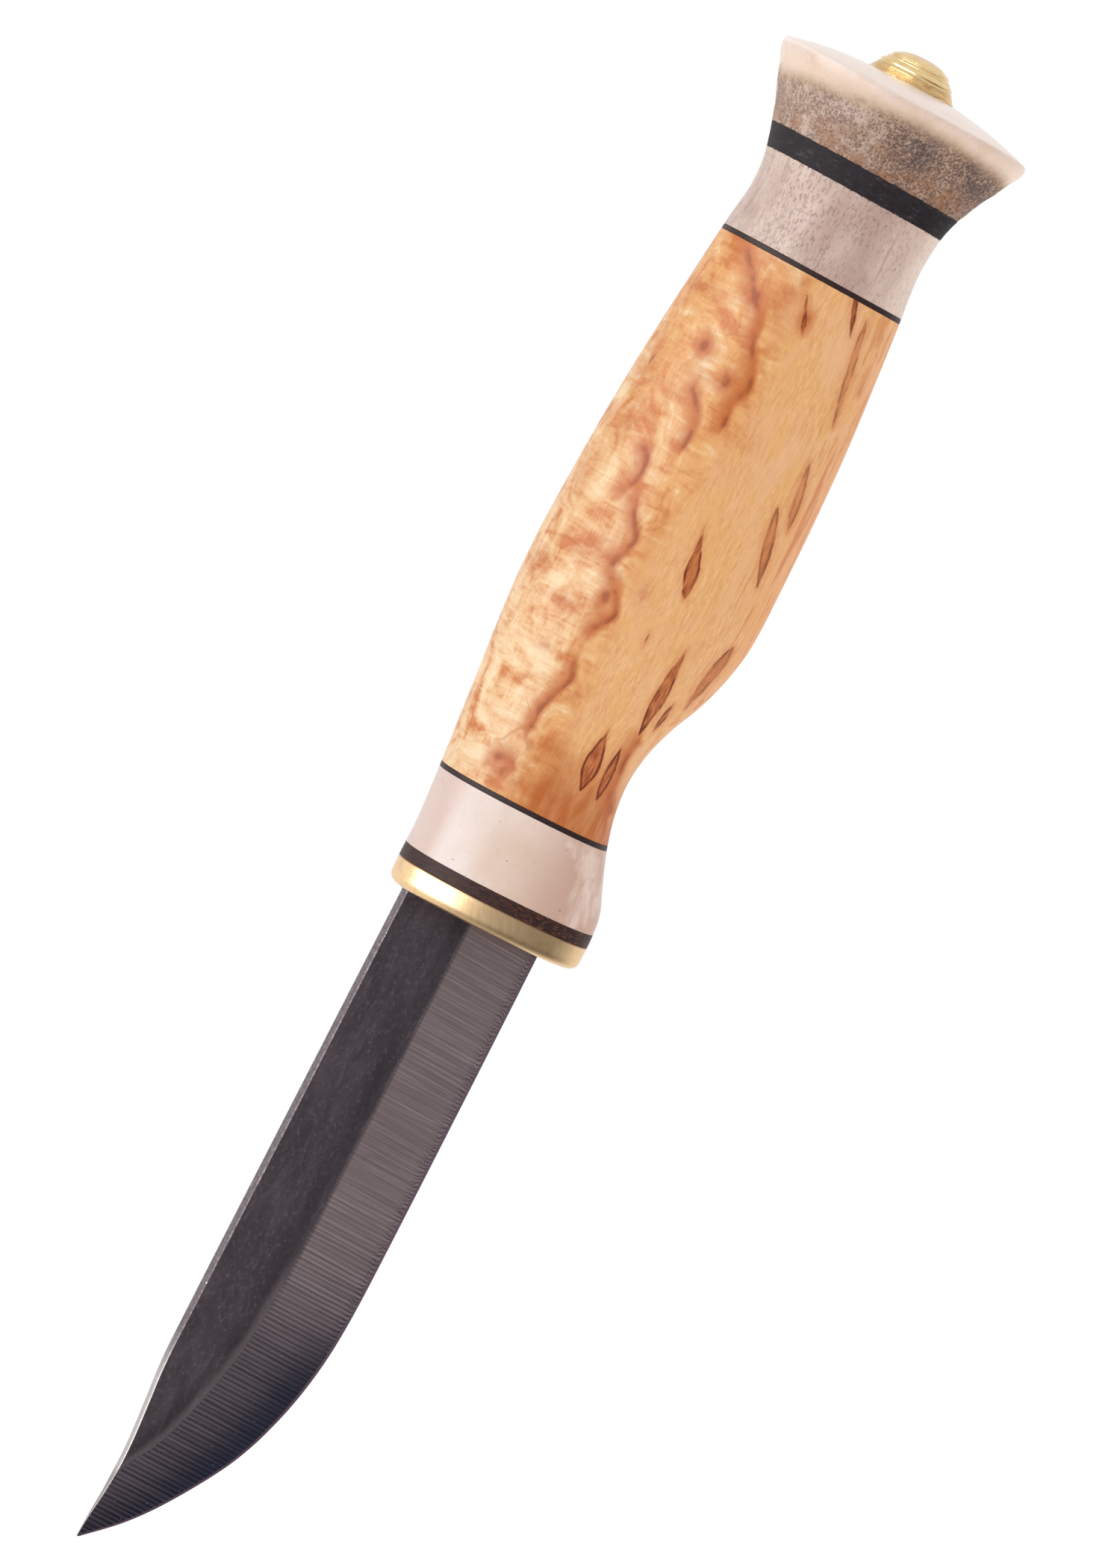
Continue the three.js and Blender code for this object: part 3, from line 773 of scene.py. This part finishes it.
def blade_steel():
    """Dark forge scale on the flats, a ground bevel with cross striations, and a filed spine."""
    p = Paint("blade_steel")
    ridge, edge = p.field("from_ridge"), p.field("from_edge")
    from_tip = p.plus(p.z, BLADE_LENGTH)
    cloud = p.noise((0.5, 0.5, 0.14), 3, 4, 0.6, 0.6)
    fine = p.noise((2.4, 2.4, 1.4), 5, 4, 0.65)
    grind = grinding(p, from_tip)
    comb = edge_comb(p, edge, from_tip)
    on_bevel = p.ease(p.plus(ridge, p.times(p.noise((1.5, 1.5, 0.35), 17), 0.3)), 0.08, 0.24)
    scale = forge_scale(p, ridge, from_tip, cloud, fine)
    colour = p.mix(on_bevel, scale, ground_bevel(p, ridge, edge, from_tip, grind, comb))
    facing = p.make("ShaderNodeNewGeometry").outputs["True Normal"]
    sideways = p.calc("ABSOLUTE", p.make("ShaderNodeSeparateXYZ", {0: facing}).outputs[0])
    spine = p.times(p.ease(sideways, 0.3, 0.6), p.ease(ridge, 0.5, -0.5))
    colour = p.over(colour, filed_spine(p, from_tip), spine)
    tang_end = p.ease(p.z, 50, 60)
    # painted reflection: the tang's head, seen on top of the cap, gets a pinkish tan tone
    colour = p.over(colour, (0.86, 0.69, 0.58), tang_end)
    rough = p.plus(0.4, p.times(fine, 0.2), p.times(on_bevel, -0.1), p.times(tang_end, -0.2))
    bevel_height = p.times(on_bevel, p.plus(grind, p.times(comb, -0.3)))
    scale_height = p.times(p.calc("SUBTRACT", 1, on_bevel), p.plus(fine, p.times(cloud, 2)))
    return p.dress(colour, rough, 0.85, [(scale_height, 0.015), (bevel_height, 0.012)])


def brushed_brass():
    p = Paint("brass_bolster")
    strokes = p.noise((5, 5, 0.35), 3, 4, 0.7, 0, 24)
    colour = p.mix(p.ease(strokes, 0.3, 0.75), (0.95, 0.79, 0.57), (0.98, 0.87, 0.72))
    tarnish = p.ease(p.noise(0.35, 7, 3, 0.6), 0.5, 0.75)
    colour = p.over(colour, (0.7, 0.52, 0.33), tarnish, 0.3)
    joint = p.ease(p.z, 2.85, 3.05)
    colour = p.over(colour, (0.4, 0.2, 0.12), joint, 0.7)
    rough = p.line(strokes, 0.12, 0.28)
    return p.dress(colour, rough, 1.0, [(strokes, 0.005), (p.noise(3.5, 9, 3), 0.003)])


def turned_brass():
    p = Paint("polished_brass")
    radius = p.calc("SQRT", p.plus(p.times(p.x, p.x), p.times(p.y, p.y)))
    rings = p.calc("SINE", p.times(p.plus(radius, p.z, p.times(p.noise(0.4, 2), 0.4)), 26))
    colour = p.mix(p.ease(p.noise(0.8, 4, 4), 0.35, 0.7), (0.91, 0.80, 0.60), (0.87, 0.74, 0.53))
    wear = p.ease(p.noise(2.4, 6, 4, 0.7), 0.6, 0.72)
    colour = p.over(colour, (0.6, 0.4, 0.2), wear, 0.4)
    rough = p.plus(0.12, p.times(p.noise(1.5, 8), 0.12), p.times(wear, 0.15))
    return p.dress(colour, rough, 1.0, [(rings, 0.012), (p.noise(1.8, 5, 3), 0.02)])


def brown_leather():
    p = Paint("brown_leather")
    fibres = p.noise((0.9, 0.9, 4), 3, 4, 0.7, 0.5)
    colour = p.mix(p.ease(fibres, 0.35, 0.7), (0.14, 0.07, 0.06), (0.27, 0.15, 0.13))
    flecks = p.ease(p.noise((1.6, 1.6, 5), 9, 3, 0.6), 0.54, 0.64)
    colour = p.over(colour, (0.44, 0.25, 0.18), flecks, p.ease(p.x, -5, 3), 0.8)
    rough = p.line(fibres, 0.25, 0.4)
    return p.dress(colour, rough, bumps=[(fibres, 0.05)], specular=0.3)


def black_leather():
    p = Paint("black_leather")
    nap = p.noise((1.3, 1.3, 3), 5, 5, 0.7)
    colour = p.mix(p.ease(nap, 0.35, 0.7), (0.10, 0.075, 0.095), (0.165, 0.135, 0.155))
    scuffs = p.times(p.ease(p.noise((0.5, 0.5, 1.4), 7, 5, 0.75), 0.56, 0.68), 0.5)
    colour = p.over(colour, (0.34, 0.31, 0.33), scuffs)
    return p.dress(colour, p.line(nap, 0.2, 0.62), bumps=[(nap, 0.06)], specular=0.3)


def black_fibre():
    p = Paint("black_fibre")
    grain = p.noise((2, 2, 7), 4, 4, 0.6)
    colour = p.mix(p.ease(grain, 0.35, 0.7), (0.12, 0.06, 0.065), (0.22, 0.13, 0.13))
    return p.dress(colour, p.line(grain, 0.2, 0.38), bumps=[(grain, 0.02)], specular=0.3)


def polished_antler():
    """Dense, polished antler: pinkish ivory with cloudy pale brown marbling."""
    p = Paint("polished_antler")
    cloud = p.noise((0.12, 0.12, 0.1), 6, 4, 0.5, 0.5)
    colour = p.mix(p.ease(cloud, 0.35, 0.7), (0.915, 0.84, 0.80), (0.87, 0.77, 0.70))
    right = p.ease(p.x, -4, 6)
    colour = p.over(colour, (0.80, 0.67, 0.61), p.ease(p.x, 2, 9), 0.4)
    smoke = p.times(p.ease(p.noise((0.2, 0.2, 0.13), 12, 5, 0.62, 0.4), 0.34, 0.54), right)
    colour = p.over(colour, (0.74, 0.59, 0.52), smoke, 0.85)
    fine = p.noise((1.6, 1.6, 1.0), 9, 4, 0.7)
    colour = p.over(colour, (0.74, 0.62, 0.56), p.ease(fine, 0.45, 0.75), 0.2)
    ticks = p.ease(p.noise((0.35, 0.35, 3.2), 15, 2, 0.5, 0.2), 0.66, 0.74)
    colour = p.over(colour, (0.7, 0.6, 0.52), ticks, p.ease(p.x, -2, -6), 0.3)
    # painted highlight: a cooler, paler tone towards the back (left) side
    colour = p.over(colour, (0.87, 0.825, 0.82), p.ease(p.x, -3, -9), 0.45)
    # painted shade: a darker strip along the far edge of the back side
    colour = p.over(colour, (0.79, 0.65, 0.60), p.ease(p.x, -9.6, -11), 0.45)
    colour = p.over(colour, (0.45, 0.33, 0.28), p.spots((0.35, 0.35, 0.5), 18, 0.07), 0.7)
    return p.dress(colour, p.line(fine, 0.1, 0.3), bumps=[(fine, 0.006)], coat=0.08, specular=0.35)


def seep(p, colour, joint):
    """A dark, ragged stain from the leather along one of its joints."""
    beyond = p.calc("ABSOLUTE", p.plus(p.z, p.times(p.x, LEAN_PER_MM * joint), -joint))
    ragged = p.plus(beyond, p.times(p.noise(1.8, 37, 4, 0.7), 0.9), -0.4)
    return p.over(colour, (0.2, 0.16, 0.16), p.ease(ragged, 0.16, 0.04), 0.85)


def porous_antler():
    """Antler cut near the core: pinkish grey with short lengthwise pores."""
    p = Paint("porous_antler")
    cloud = p.noise((0.25, 0.25, 0.12), 4, 4, 0.6, 0.6)
    colour = p.mix(p.ease(cloud, 0.35, 0.68), (0.83, 0.735, 0.685), (0.74, 0.635, 0.585))
    from_core = p.calc("ABSOLUTE", p.plus(p.x, 1))
    inward = p.times(p.ease(from_core, 11, 3), p.ease(p.noise(0.2, 8, 3), 0.3, 0.6))
    colour = p.over(colour, (0.71, 0.59, 0.55), inward, 0.6)
    dense = p.plus(0.15, p.times(inward, 0.6), p.times(p.ease(p.z, 88, 94), 0.2))
    pores = p.ease(p.noise((3.2, 3.2, 1.6), 11, 4, 0.65, 0.2), 0.5, 0.68)
    colour = p.over(colour, (0.60, 0.45, 0.40), pores, dense, 0.85)
    dots = p.spots((2.2, 2.2, 1.1), 14, 0.24)
    colour = p.over(colour, (0.56, 0.43, 0.39), dots, dense, 0.25)
    lines = p.ease(p.noise((1.4, 1.4, 0.03), 17, 2, 0.5), 0.63, 0.68)
    colour = p.over(colour, (0.55, 0.43, 0.38), lines, 0.35)
    # painted light: the belly's side is lightened
    colour = p.over(colour, (0.91, 0.81, 0.755), p.ease(p.x, 5.5, 9.5), 0.7)
    colour = seep(p, colour, SPACER_LOW)
    rough = p.line(pores, 0.2, 0.36)
    bumps = [(pores, -0.04), (dots, -0.03)]
    return p.dress(colour, rough, bumps=bumps, coat=0.15, coat_roughness=0.2, specular=0.4)


def antler_bark(p, speck):
    """Speckled grey-brown bark, paler at the back, with rusty patches and grey clusters."""
    broad = p.noise(0.4, 6, 4, 0.6, 0.8)
    bark = p.mix(p.ease(speck, 0.37, 0.63), (0.35, 0.255, 0.215), (0.74, 0.62, 0.54))
    pale = p.ease(p.noise(0.42, 27, 4, 0.6), 0.46, 0.64)
    bark = p.over(bark, (0.79, 0.70, 0.63), pale, p.line(p.ease(p.x, 0, -6), 0.4, 0.15))
    bark = p.over(bark, (0.86, 0.77, 0.72), p.ease(p.x, -1, -9), p.line(pale, 0.34, 0.22))
    bark = p.over(bark, (0.45, 0.33, 0.27), p.ease(p.x, -7, 0), p.ease(speck, 0.66, 0.42), 0.45)
    low_or_high = p.plus(p.ease(p.z, 103, 99.5), p.ease(p.z, 104.5, 106.5))
    rust = p.times(p.ease(p.noise(0.45, 12, 4, 0.6), 0.42, 0.62), low_or_high)
    bark = p.over(bark, (0.60, 0.40, 0.26), rust, 0.55)
    at_side = p.ease(p.calc("ABSOLUTE", p.plus(p.x, -11)), 5.5, 1.5)
    at_middle = p.ease(p.calc("ABSOLUTE", p.plus(p.x, -1.3)), 4.5, 0.5)
    clusters = p.times(p.plus(at_side, at_middle), p.ease(p.z, 99, 101.5), p.ease(broad, 0.4, 0.56))
    bark = p.over(bark, (0.46, 0.385, 0.36), clusters, 0.7)
    bark = p.over(bark, (0.30, 0.245, 0.235), clusters, p.ease(speck, 0.58, 0.44), 0.75)
    return p.over(bark, (0.28, 0.19, 0.16), p.spots(2.9, 15, 0.34), 0.7)


def cut_ivory(p):
    """The smooth, cut top of the pommel, with painted light making it palest just above its rim."""
    cloud = p.ease(p.noise(0.3, 18, 4, 0.6, 0.5), 0.4, 0.7)
    ivory = p.mix(cloud, (0.90, 0.815, 0.775), (0.86, 0.755, 0.68))
    ivory = p.over(ivory, (0.72, 0.6, 0.5), p.ease(p.noise(1.6, 21, 3), 0.55, 0.75), 0.25)
    ivory = p.over(ivory, (0.90, 0.79, 0.68), p.ease(p.z, RIM_Z + 1, RIM_Z - 1), 0.5)
    # painted light: the top face is lightened to match the lit side below it
    return p.over(ivory, (0.97, 0.91, 0.87), p.ease(p.z, RIM_Z + 0.5, RIM_Z + 0.9), 0.7)


def bark_antler():
    """The pommel: bark below, a pale brown rind above it, and ivory where it is cut."""
    p = Paint("bark_antler")
    speck = p.noise(3.0, 9, 5, 0.72)
    edge = p.plus(p.z, p.times(p.noise(0.5, 24, 3, 0.6), 1.2), p.times(p.x, p.x, 0.007), -0.2)
    top = p.ease(edge, RIM_Z - 1.5, RIM_Z + 0.5)
    rind = p.ease(edge, RIM_Z - 2.3, RIM_Z - 0.4)
    bark = p.over(antler_bark(p, speck), (0.74, 0.61, 0.49), rind, 0.7)
    colour = seep(p, p.mix(top, bark, cut_ivory(p)), SPACER_HIGH)
    rough = p.plus(0.6, p.times(top, -0.3))
    rise = p.times(p.calc("SUBTRACT", 1, top), speck)
    bumps = [(rise, 0.08), (p.noise(1.2, 2), 0.02)]
    return p.dress(colour, rough, bumps=bumps, coat=p.times(top, 0.3), coat_roughness=0.2, specular=0.3)


def straight_grain(p, strokes):
    """Honey-coloured wood with faint lengthwise strokes, golden and pinkish in soft patches."""
    short = p.noise((3.4, 3.4, 0.7), 45, 4, 0.65)
    grain = p.plus(p.times(strokes, 0.35), p.times(short, 0.65))
    colour = p.mix(p.ease(grain, 0.36, 0.62), (0.92, 0.725, 0.51), (0.855, 0.615, 0.405))
    golden = p.ease(p.noise((0.5, 0.5, 0.16), 11, 4, 0.6), 0.42, 0.66)
    colour = p.over(colour, (0.89, 0.67, 0.41), golden, 0.5)
    blush = p.ease(p.noise((0.3, 0.3, 0.12), 41, 4, 0.55, 0.6), 0.44, 0.62)
    blush = p.times(blush, p.line(p.ease(p.z, 56, 64), 0.25, 0.35))
    return p.over(colour, (0.91, 0.71, 0.55), blush)


def curly_grain(p, strokes):
    """Wood whose grain rolls in and out: creamy on the crests and orange-brown in the dips, with a painted
    sheen on the crests towards the back.
    """
    crosswise = p.noise((0.22, 0.22, 1.0), 7, 4, 0.6, 0.8)
    cloud = p.noise((0.2, 0.2, 0.16), 9, 4, 0.6, 1.3)
    weave = p.plus(p.times(crosswise, 0.52), p.times(strokes, 0.2), p.times(cloud, 0.96))
    colour = p.mix(p.ease(weave, 0.62, 0.9), (0.79, 0.46, 0.22), (0.885, 0.645, 0.40))
    colour = p.over(colour, (0.945, 0.83, 0.65), p.ease(weave, 0.86, 1.1))
    # painted sheen: the crests are lightened towards the back and towards the pommel
    painted_sheen = p.times(p.ease(p.x, -5, -10.5), p.ease(p.z, 85, 25), p.ease(weave, 0.6, 1.05))
    return p.over(colour, (0.965, 0.88, 0.735), painted_sheen, 0.75)


def grain_shadows(p, colour, curl):
    """Stains and veins where the curly grain dips, sharp on the belly's side and fading on the other."""
    broken = p.ease(p.noise(0.7, 13, 4, 0.65, 0.8), 0.35, 0.65)
    stain = p.times(p.field("stain"), p.line(broken, 0.55, 0.45))
    colour = p.over(colour, (0.73, 0.365, 0.145), stain)
    vein = p.plus(p.field("vein"), p.times(p.noise(0.9, 15, 3), 0.5), -0.25)
    colour = p.over(colour, (0.74, 0.39, 0.18), p.ease(vein, 2.4, 0.1), 0.85)
    contour = p.calc("ABSOLUTE", p.plus(p.noise((0.13, 0.13, 0.17), 33, 1, 0.4, 0.9), -0.52))
    waves = p.times(p.ease(contour, 0.04, 0.0), curl, p.ease(p.noise(0.3, 35, 3), 0.45, 0.62))
    colour = p.over(colour, (0.72, 0.40, 0.20), waves, p.ease(p.x, -12, -9), 0.45)
    core = p.times(p.ease(vein, 0.75, 0.05), p.ease(p.noise(0.4, 17), 0.36, 0.6), 0.7)
    return p.over(colour, (0.54, 0.24, 0.12), core)


def belly_streaks(p, colour):
    """Redder wood towards the finger notch's foot and along the belly's edge."""
    ragged = p.plus(p.z, p.times(p.noise((0.2, 0.2, 0.16), 9, 4, 0.6, 1.3), 6))
    foot = p.times(p.ease(ragged, 29.5, 19.5), p.line(p.ease(p.x, -8, -2), 0.85, 0.15))
    fibres = p.ease(p.noise((0.8, 0.8, 0.14), 47, 4, 0.6, 0.5), 0.3, 0.65)
    colour = p.over(colour, (0.69, 0.35, 0.13), foot, p.line(fibres, 0.32, 0.6))
    edge = p.ease(p.plus(p.x, p.times(p.noise((0.6, 0.6, 0.07), 19), 5)), 10, 15.5)
    colour = p.over(colour, (0.90, 0.60, 0.36), edge, 0.45)
    streaks = p.times(p.ease(p.noise((1.1, 1.1, 0.09), 21, 3, 0.6, 0.3), 0.53, 0.62), p.ease(p.x, 4, 10))
    return p.over(colour, (0.78, 0.45, 0.24), streaks, 0.65)


def birch_flecks(p, colour):
    """Lens-shaped flecks: a brown rim that closes at both tips, round a paler, threaded middle."""
    fleck = p.plus(p.field("fleck"), p.times(p.noise((1.1, 1.1, 0.4), 23, 4, 0.6), 0.44), -0.22)
    colour = p.over(colour, (0.80, 0.46, 0.24), p.ease(fleck, -0.9, 0.05), 0.35)
    threads = p.ease(p.noise((4, 4, 0.4), 25, 4, 0.6), 0.35, 0.65)
    middle = p.mix(threads, (0.60, 0.29, 0.15), (0.79, 0.48, 0.27))
    pale = p.times(p.ease(p.x, 3.5, 6.5), p.line(p.ease(p.z, 50, 64), 0.55, 0.45))
    middle = p.over(middle, (0.86, 0.58, 0.36), pale, 0.7)
    colour = p.over(colour, middle, p.ease(fleck, -0.1, 0.1))
    rim = p.times(p.ease(fleck, -0.14, 0.03), p.ease(fleck, 0.32, 0.06), p.plus(0.95, p.times(pale, -0.45)))
    rim = p.times(rim, p.line(p.ease(p.noise((0.7, 0.7, 0.3), 27), 0.4, 0.58), 0.8, 0.2))
    return p.over(colour, (0.41, 0.13, 0.05), rim)


def curly_birch():
    """Honey birch, curly towards the back and straight-grained towards the belly, with brown flecks."""
    p = Paint("curly_birch")
    curl = p.field("curl")
    strokes = p.noise((2.6, 2.6, 0.13), 3, 5, 0.7, 0.25)
    hair = p.noise((6, 6, 0.25), 5, 3, 0.6)
    colour = p.mix(curl, straight_grain(p, strokes), curly_grain(p, strokes))
    threads = p.times(p.ease(hair, 0.5, 0.8), p.line(curl, 0.12, 0.1))
    colour = p.over(colour, (0.99, 0.88, 0.7), threads)
    colour = grain_shadows(p, colour, curl)
    colour = belly_streaks(p, colour)
    colour = birch_flecks(p, colour)
    pores = p.ease(p.noise((5, 5, 1.6), 29, 3, 0.6), 0.56, 0.75)
    colour = p.over(colour, (0.68, 0.40, 0.21), pores, 0.16)
    rough = p.plus(0.4, p.times(hair, 0.12), p.times(curl, -0.06))
    return p.dress(colour, rough, bumps=[(hair, 0.008), (pores, -0.006)], specular=0.3)


def cured_adhesive():
    p = Paint("cured_adhesive")
    cloud = p.noise(0.5, 3, 4, 0.6, 0.5)
    colour = p.mix(p.ease(cloud, 0.35, 0.65), (0.74, 0.6, 0.36), (0.6, 0.44, 0.22))
    return p.dress(colour, p.line(cloud, 0.2, 0.45), bumps=[(p.noise(1.5, 6), 0.05)])


# ---- assembly

PIECES = (  # how each piece is made, its material, and a slot name, which nothing in this script reads
    (steel_blade, blade_steel, "blade_steel"),
    (brass_bolster, brushed_brass, "brass"),
    (front_leather_spacer, brown_leather, "brown_leather"),
    (polished_antler_ferrule, polished_antler, "polished_antler"),
    (front_fibre_liner, black_fibre, "black_fibre"),
    (curly_birch_grip, curly_birch, "curly_birch"),
    (rear_fibre_liner, black_fibre, "black_fibre"),
    (porous_antler_ferrule, porous_antler, "porous_antler"),
    (rear_leather_spacer, black_leather, "black_leather"),
    (antler_pommel, bark_antler, "bark_antler"),
    (turned_washer, turned_brass, "brass"),
    (domed_cap, turned_brass, "brass"),
)
finishes = {}
for make_piece, make_material, slot in PIECES:
    if make_material not in finishes:
        finishes[make_material] = make_material()
    piece = make_piece()
    piece.data.materials.clear()
    piece.data.materials.append(finishes[make_material])
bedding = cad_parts["tang_bedding"]
bedding.data.materials.clear()
bedding.data.materials.append(cured_adhesive())


# ---- stage

def toward(azimuth, elevation):
    """The direction towards an azimuth from -Y, where positive turns to +X, and an elevation."""
    a, e = math.radians(azimuth), math.radians(elevation)
    return Vector((math.sin(a) * math.cos(e), -math.cos(a) * math.cos(e), math.sin(e)))


def add_camera():
    data = bpy.data.cameras.new("camera")
    data.lens = CAMERA["lens"]
    data.clip_start, data.clip_end = 0.01, 20
    back = toward(CAMERA["azimuth"], CAMERA["elevation"])
    right = Vector((0, 0, 1)).cross(back).normalized()
    up = back.cross(right)
    c, s = math.cos(math.radians(CAMERA["roll"])), math.sin(math.radians(CAMERA["roll"]))
    turn = Matrix((right * c + up * s, up * c - right * s, back)).transposed().to_4x4()
    camera = bpy.data.objects.new("camera", data)
    camera.matrix_world = Matrix.Translation((CAMERA_AIM + back * CAMERA["distance"]) * MM) @ turn
    bpy.context.scene.collection.objects.link(camera)
    bpy.context.scene.camera = camera


def softbox(name, azimuth, elevation, distance, width, height, power):
    """A rectangular light that faces the middle of the knife; sizes in metres, power in watts."""
    data = bpy.data.lights.new(name, "AREA")
    data.shape = "RECTANGLE"
    data.size, data.size_y, data.energy = width, height, power
    aim = Vector((0, 0, FACE_Z * MM))
    lamp = bpy.data.objects.new(name, data)
    lamp.location = aim + toward(azimuth, elevation) * distance
    lamp.rotation_euler = (aim - lamp.location).to_track_quat("-Z", "Y").to_euler()
    bpy.context.scene.collection.objects.link(lamp)
    return lamp


def add_world():
    """A white studio with one darker side, so that polished metal has something to show.

    For soft light that side is behind the camera. For reflections it is lower, on the belly's side.
    """
    world = bpy.data.worlds.new("studio")
    world.use_nodes = True
    tree = world.node_tree
    seen = tree.nodes.new("ShaderNodeLightPath").outputs
    around = tree.nodes.new("ShaderNodeTexCoord").outputs["Generated"]
    sides = {0: seen["Is Glossy Ray"], 4: toward(4, 0), 5: toward(42, -32)}
    dark_side = make_node(tree, "ShaderNodeMix", sides, data_type="VECTOR").outputs[1]
    facing = make_node(tree, "ShaderNodeVectorMath", {0: around, 1: dark_side}, operation="DOT_PRODUCT")
    ramp = make_node(tree, "ShaderNodeValToRGB", {"Fac": facing.outputs["Value"]})
    bright, dark = ramp.color_ramp.elements
    bright.position, bright.color = 0.33, (0.98, 0.97, 0.96, 1)
    dark.position, dark.color = 0.93, (0.18, 0.175, 0.175, 1)
    tones = {0: seen["Is Camera Ray"], 6: ramp.outputs["Color"], 7: (1, 1, 1, 1)}
    shown = make_node(tree, "ShaderNodeMix", tones, data_type="RGBA").outputs[2]
    wire(tree, tree.nodes["Background"], {"Color": shown})
    bpy.context.scene.world = world
    bpy.context.scene.view_settings.view_transform = "Standard"


def add_floor():
    half, below = 1.0, -0.12
    mesh = bpy.data.meshes.new("floor")
    corners = [(-half, -half, below), (half, -half, below), (half, half, below), (-half, half, below)]
    mesh.from_pydata(corners, [], [(0, 1, 2, 3)])
    floor = bpy.data.objects.new("floor", mesh)
    bpy.context.scene.collection.objects.link(floor)
    pale = bpy.data.materials.new("pale_floor")
    pale.use_nodes = True
    look = {
        "Base Color": (0.9, 0.9, 0.9, 1), "Roughness": 0.9,
        "Emission Color": (1, 1, 1, 1), "Emission Strength": 0.3,
    }
    wire(pale.node_tree, pale.node_tree.nodes["Principled BSDF"], look)
    mesh.materials.append(pale)
    floor.visible_glossy = False


add_camera()
add_world()
add_floor()
softbox("key", -34, 18, 0.9, 0.6, 0.9, 2.2).visible_glossy = False
softbox("fill", 66, 6, 0.9, 0.6, 0.9, 1.6).visible_glossy = False
softbox("window", -58, 6, 0.9, 1.3, 0.9, 11.5).visible_diffuse = False
